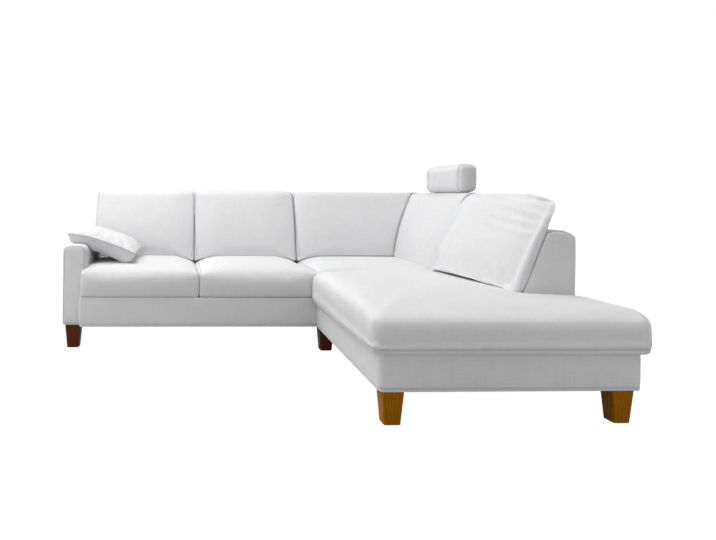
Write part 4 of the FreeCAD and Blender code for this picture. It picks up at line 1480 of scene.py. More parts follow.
    def dress(self) -> None:
        """Finish the simulated pad."""
        subdivide(self.piece)
        plan = self.shop.plan
        left, right, radius, top = self.left, self.right, self.corner_radius, plan.seat_top
        hem = self.lip + self.hem
        rounds = [*arc((left + radius, self.near + radius), radius, 180, 270),
                  *arc((right - radius, self.near + radius), radius, 270, 360)]
        round_hem = [(left, -0.03, hem), (left, self.near + radius, hem),
                     *((x, y, hem) for x, y in rounds), (right, self.low_back_end - 0.01, hem)]
        y = -SEAM_GAP - self.seam_inset
        cross = [(left, y, hem), (left, y, top - 0.05), (left + 0.05, y, top),
                 (plan.lean_at(top), y, top)]
        seams = [seam_through(plan.placed(Leg.REAR, route)) for route in (round_hem, cross)]
        self.shop.dress(self.piece, Body.SOFA, ["chaise_seat_cushion"], seams, 0.85)


# Backs


@dataclass(frozen=True)
class FreeEnd:
    """How a loose cushion turns in and falls towards its free end.

    A run is how far from the end, in metres, a change starts or fades.
    """

    turn: float = 0.52
    turn_run: float = 0.60
    turn_power: float = 1.7
    nose: float = 0.30
    nose_run: float = 0.14
    nose_widens: float = 0.04
    fall: float = 0.066
    fall_run: float = 0.21
    top_sag: float = 0.010
    top_sag_run: float = 0.35
    foot_sag: float = 0.007
    foot_end_sag: float = 0.012
    foot_sag_run: float = 0.28
    draw_in: float = 0.014
    far_tuck: float = 0.010
    far_run: float = 0.07
    crease: float = 0.010
    softness: float = 0.004


@dataclass
class BackCushion(Assembly):
    """A tall back cushion on the leaning low back, crowned between its two ends.

    It runs from start to end along its leg, or to the corner's mitre.
    """

    node: str
    leg: Leg
    start: float
    end: float
    body: Body = Body.SOFA
    mitred: bool = False
    foot: float | None = None
    top: float | None = None
    clearance: float = 0.0
    foot_thickness: float = 0.108
    top_thickness: float = 0.098
    crown: float = 0.020
    bow: float = 0.020
    top_radius: float = 0.034
    end_radius: float = 0.030
    sharp_radius: float = 0.018
    foot_drop: float = 0.040
    top_crown: float = 0.006
    end_draw: float = 0.016
    seam_reach: float = 0.055
    seam_inset: float = 0.005
    voxel: float = 0.009
    stuffing: Stuffing = Stuffing(cap=0.007)
    fill: float = 0.8
    loose: bool = False
    free_end: FreeEnd = FreeEnd()

    def __post_init__(self) -> None:
        """Take the foot and the top from the plan where they aren't given."""
        plan = self.shop.plan
        self.foot = plan.back_foot if self.foot is None else self.foot
        self.top = plan.back_top if self.top is None else self.top

    def shape(self) -> None:
        """Make the blank and hang it."""
        plan = self.shop.plan
        end = plan.lean_at(self.top) if self.mitred else self.end
        bm = bmesh.new()
        add_block(bm, (self.start, 0.0, self.foot), (end, 0.1, self.top))
        for v in bm.verts:
            rear = plan.lean_at(v.co.z) - self.clearance
            thick = self.foot_thickness if v.co.z < self.foot + 0.1 else self.top_thickness
            v.co.y = rear if v.co.y > 0.05 else rear - thick
        middle = (self.foot + self.top) / 2
        round_edges(bm, lambda m, d: lies_along(d.x) and m.z > middle, self.top_radius, 6)
        if not self.loose:
            round_edges(bm, lambda m, d: self.top_end(m, d, end), self.end_radius, 5)
        round_sharp(bm, self.sharp_radius, 4, 0.7)
        self.piece = new_piece(self.node.replace("_cushion", "_pad"), bm)
        remesh(self.piece, self.voxel)
        co = points(self.piece)
        full = self.swollen(co)
        behind = full[:, 1] > plan.lean_at(full[:, 2]) - self.clearance - 0.012
        held = (behind & (full[:, 2] < plan.low_back_top)) | (self.edge_distance(co) < 0.008)
        move_points(self.piece, plan.placed(self.leg, full))
        self.shop.room.hang(self.piece, self.stuffing, held, self.rests())

    def top_end(self, middle: Vector, way: Vector, end: float) -> bool:
        """Whether an edge is the top corner at an end, seen from the front.

        Args:
            middle: the edge's middle.
            way: its direction.
            end: where the blank ends.

        Returns:
            True for a top corner.
        """
        at_end = middle.x < self.start + 0.002 or (middle.x > end - 0.002 and not self.mitred)
        return at_end and middle.z > self.top - 0.05 and abs(way.x) < 0.5

    def rests(self) -> list[Rest]:
        """The planes that the cushion lies against.

        Returns:
            One plane for the low back, and one for each neighbour.
        """
        plan = self.shop.plan
        z = plan.base_top
        rear_leg = self.leg is Leg.REAR
        lean_out = (0.0, 1.0, -plan.lean) if rear_leg else (1.0, 0.0, -plan.lean)
        start_out = (-1.0, 0.0, 0.0) if rear_leg else (0.0, -1.0, 0.0)
        found = [Rest(plan.spot(self.leg, 0.0, plan.lean_at(z) - self.clearance, z), lean_out)]
        if not self.mitred or rear_leg:
            found.append(Rest(plan.spot(self.leg, self.start, 0.0, z), start_out))
        if not self.mitred:
            found.append(Rest(plan.spot(self.leg, self.end, 0.0, z), tuple(-c for c in start_out)))
        return found

    def edge_distance(self, co: np.ndarray) -> np.ndarray:
        """How far each point is from the nearer end."""
        near = co[:, 0] - self.start
        return near if self.mitred else np.minimum(near, self.end - co[:, 0])

    def swollen(self, co: np.ndarray) -> np.ndarray:
        """The blank crowned to the front and drawn in at its ends.

        Args:
            co: the blank's points.

        Returns:
            The swollen points.
        """
        plan = self.shop.plan
        out = co.copy()
        full = seam_fade(self.edge_distance(co), self.seam_reach)
        if self.loose:
            full[co[:, 0] < (self.start + self.end) / 2] = 1.0
        high = unit((co[:, 2] - self.foot) / (self.top - self.foot))
        ahead = unit((plan.lean_at(co[:, 2]) - co[:, 1]) / self.foot_thickness)
        swell = self.crown * full * arch(unit(high * 0.92 + 0.06)) ** 0.7
        out[:, 1] -= ahead * (swell + self.bow * arch(high) - self.end_draw * (1 - full))
        out[:, 2] += high ** 3 * self.top_crown * full
        out[:, 2] -= (1 - high) ** 4 * self.foot_drop * (1 - full)
        if self.loose:
            self.round_free_end(co, out, high)
        return out

    def round_free_end(self, co: np.ndarray, out: np.ndarray, high: np.ndarray) -> None:
        """Turn the front in towards the free end, and let the top fall there.

        Args:
            co: the blank's points.
            out: the swollen points, which are moved.
            high: each point's height, as a share of the cushion's.
        """
        free = self.free_end
        along = co[:, 0] - self.start
        nose = unit(1 - along / (free.nose_run + free.nose_widens * high))
        top_nose = unit(1 - along / free.fall_run)
        turned = (1 - free.turn * unit(1 - along / free.turn_run) ** free.turn_power
                  - free.nose * quarter(nose))
        rear = self.shop.plan.lean_at(out[:, 2]) - self.clearance
        out[:, 1] = rear - (rear - out[:, 1]) * turned
        top_fall = free.top_sag * bell(along, free.top_sag_run) + free.fall * quarter(top_nose)
        foot_fall = free.foot_sag + free.foot_end_sag * bell(along, free.foot_sag_run)
        out[:, 2] -= high ** 2 * top_fall + (1 - high) ** 2 * foot_fall
        out[:, 0] += free.draw_in * high ** 2 * top_nose
        far = unit(1 - (self.end - co[:, 0]) / free.far_run)
        out[:, 1] += free.far_tuck * far ** 2

    def crease(self) -> None:
        """Fold the slack cloth of a loose cushion near its free end, at its top and at its foot."""
        free = self.free_end
        co = points(self.piece)
        column = 0 if self.leg is Leg.REAR else 1
        along = co[:, column] - self.shop.plan.corner[column] - self.start
        down = self.top - co[:, 2]
        up = co[:, 2] - self.foot
        level = np.ones(len(co))
        top_folds = noise_at(np.column_stack((along * 2.6, level * 3.0, down * 27.0 + along * 5.0)))
        foot_folds = noise_at(np.column_stack((along * 24.0 + down * 9.0, level * 8.0, down * 5.0)))
        at_top = bell(along - 0.13, 0.17) * bell(down - 0.10, 0.085)
        at_foot = bell(along - 0.12, 0.14) * bell(up - 0.035, 0.05)
        lift = (free.crease * top_folds * at_top + free.crease * foot_folds * at_foot
                + free.softness * wander(co, 5.0, 4.4))
        move_points(self.piece, co + normals(self.piece) * lift[:, None])

    def dress(self) -> None:
        """Finish the simulated pad."""
        plan = self.shop.plan
        relax(self.piece, 8 if self.loose else 3)
        if self.loose:
            self.crease()
        if self.mitred:
            way = (1.0, -1.0, 0.0) if self.leg is Leg.REAR else (-1.0, 1.0, 0.0)
            cut_away(self.piece, Vector(plan.spot(self.leg, 0.0, plan.gap / 2, 0.0)), Vector(way))
        subdivide(self.piece)
        self.shop.dress(self.piece, self.body, [self.node], self.seams(), self.fill)

    def seams(self) -> list[SeamLine]:
        """A seam up each sewn end and over its top.

        Returns:
            The seams, none for a loose cushion.
        """
        plan = self.shop.plan
        ends = []
        if not self.loose:
            ends.append(self.start + self.seam_inset)
        if not self.loose and not self.mitred:
            ends.append(self.end - self.seam_inset)
        front_foot = plan.lean_at(self.foot) - self.foot_thickness
        front_top = plan.lean_at(self.top) - self.top_thickness
        found = []
        for s in ends:
            route = [(s, front_foot, self.foot + 0.01), (s, front_top, self.top - 0.03),
                     (s, front_top + 0.03, self.top), (s, plan.lean_at(self.top) - 0.02, self.top)]
            found.append(seam_through(plan.placed(self.leg, route)))
        return found


# Frame upholstery


@dataclass
class BaseCover(Assembly):
    """The padded cloth round a base, over the rails, with a hem at its foot."""

    node: str
    outline: list[tuple[float, float]]
    radii: list[float]
    wall: float = 0.010
    puff: float = 0.0022
    drift: float = 0.0009
    cell: float = 0.030
    soft_edge: float = 0.003

    def dress(self) -> None:
        """Build the wall round the outline, padded between its corners."""
        self.piece = new_piece(self.node.replace("_cover", "_cloth"), self.cloth_wall())
        self.pad()
        solid = self.piece.modifiers.new("Thickness", "SOLIDIFY")
        solid.thickness = self.wall
        solid.offset = -1.0
        apply_modifiers(self.piece)
        soft = self.piece.modifiers.new("Soft edge", "BEVEL")
        soft.width = self.soft_edge
        soft.segments = 2
        soft.limit_method = "ANGLE"
        soft.angle_limit = math.radians(50)
        apply_modifiers(self.piece)
        subdivide(self.piece)
        self.shop.dress(self.piece, Body.SOFA, [self.node], [self.hem()], 0.9, 0.0016)

    def cloth_wall(self) -> bmesh.types.BMesh:
        """The outline with its corners rounded, drawn up to the base's top in fine cells.

        Returns:
            The wall, still without thickness.
        """
        plan = self.shop.plan
        bm = bmesh.new()
        corners = [Vector((x + plan.corner.x, y + plan.corner.y, plan.base_bottom))
                   for x, y in self.outline]
        bm.faces.new([bm.verts.new(corner) for corner in corners])
        for corner, radius in zip(corners, self.radii):
            if radius:
                vert = min(bm.verts, key=lambda v: (v.co - corner).length)
                bevel(bm, [vert], radius, 6, "VERTICES")
        edges = bm.edges[:]
        bmesh.ops.delete(bm, geom=bm.faces[:], context="FACES_ONLY")
        grown = bmesh.ops.extrude_edge_only(bm, edges=edges)["geom"]
        tops = [v for v in grown if isinstance(v, bmesh.types.BMVert)]
        bmesh.ops.translate(bm, verts=tops, vec=(0.0, 0.0, plan.base_top - plan.base_bottom))
        bmesh.ops.recalc_face_normals(bm, faces=bm.faces)
        upright = [e for e in bm.edges if abs(e.verts[0].co.z - e.verts[1].co.z) > 0.1]
        bmesh.ops.subdivide_edges(bm, edges=upright, cuts=5, use_grid_fill=True)
        while wide := [e for e in bm.edges if e.calc_length() > self.cell
                       and abs(e.verts[0].co.z - e.verts[1].co.z) < HAIR]:
            bmesh.ops.subdivide_edges(bm, edges=wide, cuts=1, use_grid_fill=True)
        bmesh.ops.recalc_face_normals(bm, faces=bm.faces)
        return bm

    def pad(self) -> None:
        """Push the cloth out a little between its edges."""
        plan = self.shop.plan
        co = points(self.piece)
        out = normals(self.piece)
        out[:, 2] = 0.0
        swell = arch(unit((co[:, 2] - plan.base_bottom) / (plan.base_top - plan.base_bottom)))
        push = self.puff * swell ** 0.5 + self.drift * wander(co, 5.0, 3.3) * swell
        move_points(self.piece, co + out * push[:, None])

    def hem(self) -> SeamLine:
        """The hem along the foot."""
        plan = self.shop.plan
        height = plan.base_bottom + HEM_HEIGHT
        return seam_through(plan.placed(Leg.REAR, [(x, y, height) for x, y in self.outline]), True)


@dataclass
class LowBack(Assembly):
    """The low back of one unit: a padded wall with a leaning front, in one run or two.

    Each run is a leg with its start and end along it.
    """

    node: str
    runs: list[tuple[Leg, float, float]]
    mitred: bool = False
    front_radius: float = 0.022
    rear_radius: float = 0.016
    end_radius: float = 0.012
    rear_drop: float = 0.022
    top_fall: float = 0.055
    loft: float = 0.003
    tuck: float = 0.012
    seam_inset: float = 0.006
    voxel: float = 0.014

    def profile(self) -> list[tuple[float, float]]:
        """Outline of the wall as (u, z).

        Returns:
            Its corners, from the foot of the leaning front.
        """
        plan = self.shop.plan
        top = plan.low_back_top
        rear = plan.low_back_rear + self.loft
        foot = plan.base_top - self.tuck
        return [(plan.lean_at(foot), foot), (plan.lean_at(top), top), (rear - self.top_fall, top),
                (rear, top - self.rear_drop), (rear, foot)]

    def run(self, leg: Leg, start: float, end: float) -> bpy.types.Object:
        """One run of the wall, as a prism with its long edges rounded.

        Args:
            leg: the run's leg.
            start: where it starts.
            end: where it ends.

        Returns:
            The run.
        """
        plan = self.shop.plan
        top = plan.low_back_top
        front, rear = plan.lean_at(top) + 0.01, plan.low_back_rear - 0.01
        bm = bmesh.new()
        extruded(bm, [Vector((start, u, z)) for u, z in self.profile()],
                 Vector((end - start, 0.0, 0.0)))
        round_edges(bm, lambda m, d: lies_along(d.x) and m.z > top - HAIR and m.y < front,
                    self.front_radius, 5)
        round_edges(bm, lambda m, d: lies_along(d.x) and m.z > top - 0.03 and m.y > rear,
                    self.rear_radius, 4)
        round_sharp(bm, self.end_radius, 4)
        made = new_piece("low_back_run", bm)
        move_points(made, plan.placed(leg, points(made)))
        if leg is Leg.SIDE:
            made.data.flip_normals()
        return made

    def dress(self) -> None:
        """Join the runs and soften the cloth."""
        plan = self.shop.plan
        self.piece, *others = [self.run(*run) for run in self.runs]
        for other in others:
            join(self.piece, other)
        self.piece.name = self.node.replace("_cover", "_cloth")
        remesh(self.piece, self.voxel)
        co = points(self.piece)
        above = unit((co[:, 2] - plan.base_top) / 0.03)
        drift = 0.0016 * wander(co, 4.2, 9.1) + 0.0008 * wander(co, 11.0, 2.2)
        move_points(self.piece, co + normals(self.piece) * (drift * above)[:, None])
        subdivide(self.piece)
        self.press_fronts()
        self.shop.dress(self.piece, Body.SOFA, [self.node], self.seams(), 0.9, 0.0018)

    def press_fronts(self) -> None:
        """Keep the cloth behind the leaning fronts, where the cushions lie against it."""
        plan = self.shop.plan
        co = points(self.piece)
        for leg, _, _ in self.runs:
            column = 1 if leg is Leg.REAR else 0
            short = plan.lean_at(co[:, 2]) - (co[:, column] - plan.corner[column])
            front = (short > 0) & (short < 0.01)
            co[front, column] += short[front]
        move_points(self.piece, co)

    def seams(self) -> list[SeamLine]:
        """Seams round each free end and along the rear of the top.

        Returns:
            The seams.
        """
        plan = self.shop.plan
        fold, top = plan.low_back_rear - self.top_fall, plan.low_back_top
        found = []
        for leg, start, end in self.runs:
            ends = [start + self.seam_inset, end - self.seam_inset]
            if self.mitred:
                ends = [] if leg is Leg.REAR else ends[:1]
            for s in ends:
                found.append(seam_through(plan.placed(leg, [(s, u, z) for u, z in self.profile()])))
            rear = [(start + 0.01, fold, top), (min(end, fold) - 0.01, fold, top)]
            found.append(seam_through(plan.placed(leg, rear)))
        return found


@dataclass
class Arm(Assembly):
    """The upholstered arm: a plain panel with rounded shoulders."""

    shoulder: float = 0.040
    front_radius: float = 0.013
    sharp_radius: float = 0.006
    puff: float = 0.004
    drift: float = 0.0012
    seam_inset: float = 0.006
    seam_foot: float = 0.004
    voxel: float = 0.009

    def dress(self) -> None:
        """Build the arm, soften it and sew its panels."""
        low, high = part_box("arm_cover")
        bm = bmesh.new()
        add_block(bm, low, high)
        round_edges(bm, lambda m, d: lies_along(d.y) and m.z > high.z - HAIR, self.shoulder, 8)
        round_edges(bm, lambda m, d: m.y < low.y + HAIR and m.z > low.z + HAIR,
                    self.front_radius, 4)
        round_sharp(bm, self.sharp_radius, 2)
        piece = new_piece("arm_cloth", bm)
        remesh(piece, self.voxel)
        co = points(piece)
        x, y, z = co.T
        middle = (arch(unit((z - low.z) / (high.z - low.z))) ** 0.6
                  * arch(unit((x - low.x) / (high.x - low.x))) ** 0.6)
        front = np.exp(-(y - low.y) / 0.02)
        swell = front * middle * self.puff + self.drift * wander(co, 6.0, 5.5)
        swell[z < low.z + 0.01] = 0.0
        move_points(piece, co + normals(piece) * swell[:, None])
        subdivide(piece)
        self.shop.dress(piece, Body.SOFA, ["arm_cover"], self.seams(low, high), 0.9)

    def seams(self, low: Vector, high: Vector) -> list[SeamLine]:
        """The seam round the front panel, and the hem.

        Args:
            low: the arm's lowest corner.
            high: its highest corner.

        Returns:
            The seams.
        """
        foot = low.z + self.seam_foot
        radius = self.shoulder - self.seam_inset
        rise = high.z - self.shoulder
        panel = [(low.x + self.seam_inset, foot),
                 *arc((low.x + self.shoulder, rise), radius, 180, 90),
                 *arc((high.x - self.shoulder, rise), radius, 90, 0),
                 (high.x - self.seam_inset, foot)]
        hem = low.z + HEM_HEIGHT
        return [SeamLine([(x, low.y, z) for x, z in panel]),
                SeamLine([(low.x, high.y, hem), (low.x, low.y, hem), (high.x, low.y, hem)])]


# Pieces that move


@dataclass
class Headrest(Assembly):
    """The plug-in headrest's pad on its two stems.

    The pad stands out of its solid by less and more: below and above its low and high corners.
    """

    radii: Point = (0.034, 0.042, 0.035)
    less: Point = (0.007, 0.004, 0.009)
    more: Point = (-0.004, 0.028, 0.0)
    seam_inset: float = 0.020
    voxel: float = 0.006

    def shape(self) -> None:
        """Make the blank and hang it."""
        low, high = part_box("headrest_pad")
        bm = bmesh.new()
        add_pillow(bm, low - Vector(self.less), high + Vector(self.more), Vector(self.radii))
        self.piece = new_piece("headrest_pad_cloth", bm)
        remesh(self.piece, self.voxel)
        y = points(self.piece)[:, 1]
        held = np.zeros(len(y), bool)
        for seam in (low.y + self.seam_inset, high.y - self.seam_inset):
            held |= np.abs(y - seam) < 0.004
        self.shop.room.hang(self.piece, Stuffing(cap=0.004, slack=0.005), held)

    def dress(self) -> None:
        """Finish the simulated pad."""
        subdivide(self.piece)
        low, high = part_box("headrest_pad")
        seams = [SeamLine([(low.x, y, low.z), (low.x, y, high.z), (high.x, y, high.z),
                           (high.x, y, low.z)], True)
                 for y in (low.y + self.seam_inset, high.y - self.seam_inset)]
        self.shop.dress(self.piece, Body.HEADREST, ["headrest_pad"], seams, 0.8, 0.0016)


@dataclass
class ArmCushion(Assembly):
    """The loose cushion that leans over the arm: two panels sewn at a knife edge.

    Across runs from -1 at its upper end to 1 at its lower end, along from -1 at its front to 1.
    """

    width: float = 0.404
    length: float = 0.480
    thickness: float = 0.116
    tilt: float = 18.0
    pull: float = 0.012
    droop: float = 0.022
    drop: float = 0.010
    settle: float = 0.006
    above: float = 0.62
    below: float = 1.22
    soft_edge: float = 4.4
    boxy_edge: float = 10.0
    rim_share: float = 0.09
    shoulder: float = 0.040
    air_gap: float = 0.0015
    voxel: float = 0.006

    def shape(self) -> None:
        """Make the blank and hang it."""
        low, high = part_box("arm_cushion")
        self.middle = (low + high) / 2
        self.turn = np.array(Matrix.Rotation(math.radians(self.tilt), 3, "Y"))
        bm = bmesh.new()
        half_x, half_y, half_z = self.width / 2, self.length / 2, self.thickness / 2
        add_block(bm, (-half_x, -half_y, -half_z), (half_x, half_y, half_z))
        bmesh.ops.subdivide_edges(bm, edges=bm.edges[:], cuts=23, use_grid_fill=True)
        for v in bm.verts:
            across, along = v.co.x / half_x, v.co.y / half_y
            v.co.z *= self.fullness(across, along, v.co.z > 0)
            v.co.z -= self.sag(across)
            v.co.x *= 1 - self.pull / half_x * (1 - along * along)
            v.co.y *= 1 - self.pull / half_y * (1 - across * across)
        self.piece = new_piece("arm_cushion_pad", bm)
        remesh(self.piece, self.voxel)
        co = points(self.piece)
        level = co[:, 2] + self.sag(co[:, 0] / half_x)
        at_edge = (np.abs(co[:, 0]) > half_x * 0.9) | (np.abs(co[:, 1]) > half_y * 0.9)
        move_points(self.piece, self.leaned(co))
        self.shop.room.hang(self.piece, Stuffing(pressure=3.0, cap=0.008, slack=0.02, bending=0.1),
                            (np.abs(level) < 0.005) & at_edge)

    def leaned(self, co: np.ndarray) -> np.ndarray:
        """The level cushion's points where it leans over the arm."""
        return co @ self.turn.T + np.array(self.middle)

    def fullness(self, across: float, along: float, upper: bool) -> float:
        """How full a half is at a point: thin at the rim, boxy below, and soft above.

        Args:
            across: the place across the cushion, from -1 to 1.
            along: the place along it, from -1 to 1.
            upper: whether it is the upper half.

        Returns:
            The share of half the cushion's thickness.
        """
        edge = self.soft_edge if upper else self.boxy_edge
        end = edge if across > 0 else self.soft_edge
        swell = max(0.0, 1 - abs(across) ** end) ** 0.5 * max(0.0, 1 - abs(along) ** edge) ** 0.5
        share = self.rim_share + (1 - self.rim_share) * swell
        if upper:
            return share * self.above
        low_end, rear = max(across, 0.0), max(along, 0.0)
        return share * (self.below + 0.35 * low_end ** 2 + 0.6 * rear * (1 - low_end))

    def sag(self, across: np.ndarray | float) -> np.ndarray | float:
        """How far the seam hangs below the tilted plane.

        Args:
            across: the place across the cushion, from -1 to 1.

        Returns:
            The distance, in metres.
        """
        upper = np.maximum(-across, 0.0) ** 2.2
        lower = np.maximum(across, 0.0) ** 2.0
        return self.settle + self.droop * upper + self.drop * lower

    def lie_on_arm(self) -> None:
        """Lift what has sunk into the arm onto its top and rounded shoulder."""
        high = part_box("arm_cover")[1]
        co = points(self.piece)
        past = np.clip(co[:, 0] - (high.x - self.shoulder), 0.0, self.shoulder)
        top = high.z - self.shoulder + np.sqrt(self.shoulder ** 2 - past ** 2) + self.air_gap
        over = (co[:, 0] < high.x) & (co[:, 2] < top) & (co[:, 2] > high.z - 0.06)
        co[over, 2] = top[over]
        move_points(self.piece, co)

    def dress(self) -> None:
        """Finish the simulated pad."""
        self.lie_on_arm()
        relax(self.piece, 2, 0.4)
        self.lie_on_arm()
        subdivide(self.piece)
        self.shop.dress(self.piece, Body.ARM_CUSHION, ["arm_cushion"],
                        [seam_through(self.leaned(self.rim()), True)], 0.6, -0.0018)

    def rim(self, count: int = 12) -> np.ndarray:
        """The knife edge of the level cushion.

        Args:
            count: how many points each side has.

        Returns:
            Its points, in order.
        """
        half_x, half_y = self.width / 2, self.length / 2
        ring = []
        for way_x, way_y, is_end in ((-1, -1, False), (1, -1, True), (1, 1, False), (-1, 1, True)):
            for i in range(count):
                t = i / count * 2 - 1
                pulled = self.pull * (1 - t * t)
                if is_end:
                    x, y = way_x * (half_x - pulled), way_y * t * -half_y
                else:
                    x, y = way_x * -t * half_x, way_y * (half_y - pulled)
                ring.append((x, y, -self.sag(x / half_x)))
        return np.array(ring)


# The carried-over nodes


@dataclass
class Woodwork(Assembly):
    """The feet and the hidden frame, which keep their shapes and get their finishes; the near
    feet's wood is painted light and the far feet's wood is painted shade.
    """

    painted_light_feet: tuple[str, ...] = ("chaise_left_foot", "chaise_right_foot")
    painted_shade_feet: tuple[str, ...] = ("left_front_foot", "inner_corner_foot", "rear_feet")

    def dress(self) -> None:
        """Give each shown node the finish of its slot, except the feet: the near feet get a lighter
        copy of the foot wood, painted light, and the far feet a darker copy, painted shade.
        """
        finishes = self.shop.finishes
        slots = {part["node"]: part["material_slot"] for part in frame["record"]["subparts"]}
        for name, node in frame["nodes"].items():
            if node.hide_render:
                continue
            # The near feet get painted light and the far feet painted shade, as two copies of one
            # wood.
            if name in self.painted_light_feet:
                finish = finishes.painted_light_foot
            elif name in self.painted_shade_feet:
                finish = finishes.painted_shade_foot
            else:
                finish = finishes.slots[slots[name]]
            node.data.materials.clear()
            node.data.materials.append(finish)
            log.info("%s: %s", name, finish.name)


# The studio


@dataclass(frozen=True)
class Studio:
    """A pale floor, a white background, soft lamps and the camera at the photograph's place.

    The floor's white is the share of its own light that the camera and reflections see.
    """

    eye: Point = (-0.5198, -3.3038, 0.8463)
    yaw: float = 2.87
    roll: float = 0.57
    lens: float = 30.91
    sensor: float = 36.0
    shift: tuple[float, float] = (0.189, -0.1025)
    far_clip: float = 100.0
    floor_size: float = 30.0
    floor_light: float = 1.12
    floor_white: float = 0.88
    world_colour: Colour = (0.98, 0.99, 1.0)
    world_light: float = 0.22

    def build(self) -> None:
        """Set up the floor, the world, the lamps and the camera."""
        self.floor()
        self.world()
        self.lamps()
        self.camera()
        bpy.context.scene.view_settings.view_transform = "Standard"

    def camera(self) -> None:
        """Place the camera."""
        data = bpy.data.cameras.new("camera")
        data.sensor_width = self.sensor
        data.lens = self.lens
        data.shift_x, data.shift_y = self.shift
        data.clip_end = self.far_clip
        camera = linked("camera", data)
        turn = Matrix.Rotation(-math.radians(self.yaw), 4, "Z")
        level = Matrix.Rotation(math.pi / 2, 4, "X")
        spin = Matrix.Rotation(math.radians(self.roll), 4, "Z")
        camera.matrix_world = Matrix.Translation(self.eye) @ (turn @ level) @ spin
        bpy.context.scene.camera = camera

    def floor(self) -> None:
        """A large pale floor that shows nearly white and keeps a light shadow."""
        bm = bmesh.new()
        bmesh.ops.create_grid(bm, x_segments=1, y_segments=1, size=self.floor_size)
        piece = new_piece("floor", bm)
        g = Graph.of_material("pale_floor")
        colour = g.mix(g.noise(g.place(), 3.0, 2.0), (0.42, 0.42, 0.422), (0.45, 0.45, 0.452))
        matt = g.add("BsdfDiffuse", sockets={"Color": colour})
        white = g.add("Emission", sockets={"Color": WHITE, "Strength": self.floor_light})
        rays = g.add("LightPath").outputs
        seen = Value(g, rays["Is Camera Ray"]) + Value(g, rays["Is Glossy Ray"])
        seen = (seen + Value(g, rays["Is Transmission Ray"])).clamped() * self.floor_white
        g.finish(g.add("MixShader", sockets={0: seen, 1: matt.outputs[0], 2: white.outputs[0]}))
        piece.data.materials.append(g.owner)

    def world(self) -> None:
        """Even light from all round, seen as white."""
        world = bpy.data.worlds.new("studio")
        bpy.context.scene.world = world
        g = Graph(world, "OutputWorld")
        rays = g.add("LightPath").outputs
        seen = g.math("MAXIMUM", rays["Is Camera Ray"], rays["Is Glossy Ray"])
        light = g.add("Background", sockets={0: self.world_colour, 1: self.world_light})
        white = g.add("Background", sockets={0: WHITE})
        g.finish(g.add("MixShader", sockets={0: seen, 1: light.outputs[0], 2: white.outputs[0]}))

    def lamps(self) -> None:
        """Three very wide lamps light the whole sofa, from overhead, the left rear and the front.

        Three small ones stand near: over the arm, before the right end and over the left seat.
        """
        for name, towards, spread, power in (
            ("overhead", (0.02, 0.03, 1.0), 74.0, 1.42),
            ("left", (-0.86, 0.44, 0.44), 50.0, 0.92),
            ("front", (-0.16, -1.0, -0.05), 60.0, 0.60),
        ):
            self.lamp(name, "SUN", Vector(towards), power, angle=math.radians(spread))
        for name, place, aim, size, power in (
            ("near_arm", (-1.95, -0.65, 0.95), (-1.1, 0.15, 0.4), 0.6, 3.6),
            ("near_right", (1.5, -2.8, 1.3), (0.75, -1.1, 0.25), 1.4, 6.0),
            ("near_left", (-1.35, 0.3, 2.9), (-0.6, 0.0, 0.5), 1.8, 40.0),
        ):
            lamp = self.lamp(name, "AREA", Vector(place) - Vector(aim), power, size=size)
            lamp.location = place
            lamp.visible_camera = False

    @staticmethod
    def lamp(name: str, kind: str, towards: Vector, power: float,
             **settings: float) -> bpy.types.Object:
        """Add a soft lamp.

        Args:
            name: the lamp's name.
            kind: its type, SUN or AREA.
            towards: the way to the lamp from what it lights.
            power: its strength.
            settings: how wide it is: the angle of a sun, the size of an area lamp.

        Returns:
            The lamp.
        """
        data = bpy.data.lights.new(name, kind)
        data.energy = power
        for key, value in settings.items():
            setattr(data, key, value)
        lamp = linked(name, data)
        lamp.rotation_euler = towards.to_track_quat("Z", "Y").to_euler()
        return lamp


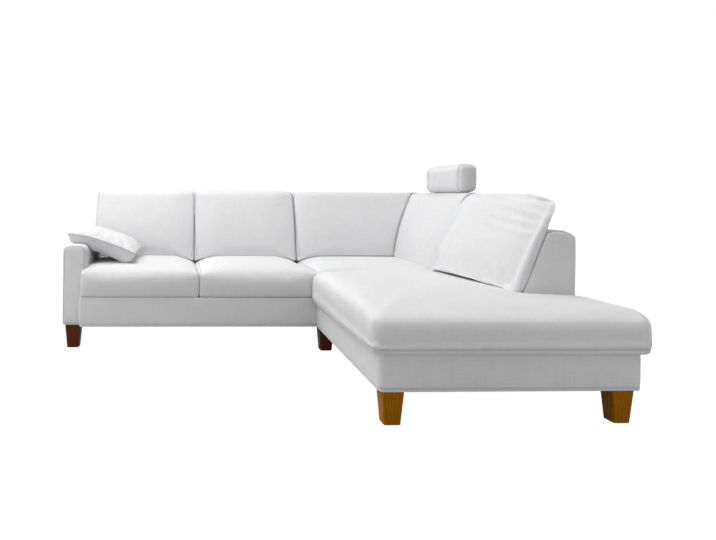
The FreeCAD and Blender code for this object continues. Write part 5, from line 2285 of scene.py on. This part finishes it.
def build_pieces(shop: Workshop) -> list[Assembly]:
    """List the sub-assemblies in the order in which they are made.

    Args:
        shop: what they are made with.

    Returns:
        The sub-assemblies, none of them built yet.
    """
    plan = shop.plan
    wall, rear, deep, near = plan.gap, plan.low_back_rear, plan.leg_depth, plan.near_end
    seats_left = plan.ends("left_seat_cushion", Leg.REAR)[0]
    seats_split = plan.ends("right_seat_cushion", Leg.REAR)[0]
    backs_left = plan.ends("left_back_cushion", Leg.REAR)[0]
    backs_split = seats_split - BACKS_SPLIT_SHIFT
    loose_start, loose_end = plan.ends("loose_back_cushion", Leg.SIDE)
    low_left = plan.ends("left_low_back_cover", Leg.REAR)[0]
    low_near = plan.ends("corner_low_back_cover", Leg.SIDE)[0]
    arm_low, arm_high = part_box("arm_cover")
    arm_inner, arm_front = arm_high.x - plan.corner.x, arm_low.y - plan.corner.y
    seat_outline = [(seats_left, 0.0), (-wall, 0.0), (-wall, deep), (arm_inner, deep),
                    (arm_inner, arm_front), (seats_left, arm_front)]
    long_outline = [(wall, near), (deep, near), (deep, deep), (wall, deep)]
    return [
        SeatCushion(shop, "left_seat_cushion", seats_left, seats_split - 0.0005, split=seats_split,
                    left_corner=0.028, left_draw=0.12),
        SeatCushion(shop, "right_seat_cushion", seats_split, -SEAM_GAP, split=seats_split),
        SeatCushion(shop, "corner_seat_cushion", SEAM_GAP, 0.0, front=0.009, right_leans=True,
                    edge_radius=0.024),
        ChaiseCushion(shop),
        BackCushion(shop, "left_back_cushion", Leg.REAR, backs_left, backs_split - 2 * SEAM_GAP),
        BackCushion(shop, "right_back_cushion", Leg.REAR, backs_split, -SEAM_GAP),
        BackCushion(shop, "corner_rear_back_cushion", Leg.REAR, SEAM_GAP, 0.0, mitred=True),
        BackCushion(shop, "corner_side_back_cushion", Leg.SIDE, -0.004, 0.0, mitred=True),
        BackCushion(shop, "loose_back_cushion", Leg.SIDE, loose_start, loose_end,
                    Body.LOOSE_CUSHION, clearance=0.001, top=plan.back_top - 0.002,
                    foot=plan.back_foot + 0.001, foot_thickness=0.138, top_radius=0.044,
                    crown=0.040, stuffing=Stuffing(cap=0.022, slack=0.02, bending=0.2), fill=0.6,
                    voxel=0.007, loose=True),
        Headrest(shop),
        ArmCushion(shop),
        BaseCover(shop, "seat_base_cover", seat_outline, [0.012, 0, 0, 0, 0, 0]),
        BaseCover(shop, "long_base_cover", long_outline, [0.024, 0.014, 0.012, 0]),
        LowBack(shop, "left_low_back_cover", [(Leg.REAR, low_left, -wall)]),
        LowBack(shop, "corner_low_back_cover", [(Leg.REAR, wall, rear), (Leg.SIDE, low_near, rear)],
                mitred=True),
        Arm(shop),
        Woodwork(shop),
    ]


def main() -> None:
    """Dress the sofa and set up the studio."""
    logging.basicConfig(level=logging.INFO, format="%(name)s %(message)s")
    finishes = Finishes()
    shop = Workshop(Plan.from_frame(), finishes, ClothRoom(), Seamstress(finishes))
    Studio().build()
    pieces = build_pieces(shop)
    for piece in pieces:
        piece.shape()
    shop.room.run()
    for piece in pieces:
        piece.dress()


if __name__ == "__main__":
    main()
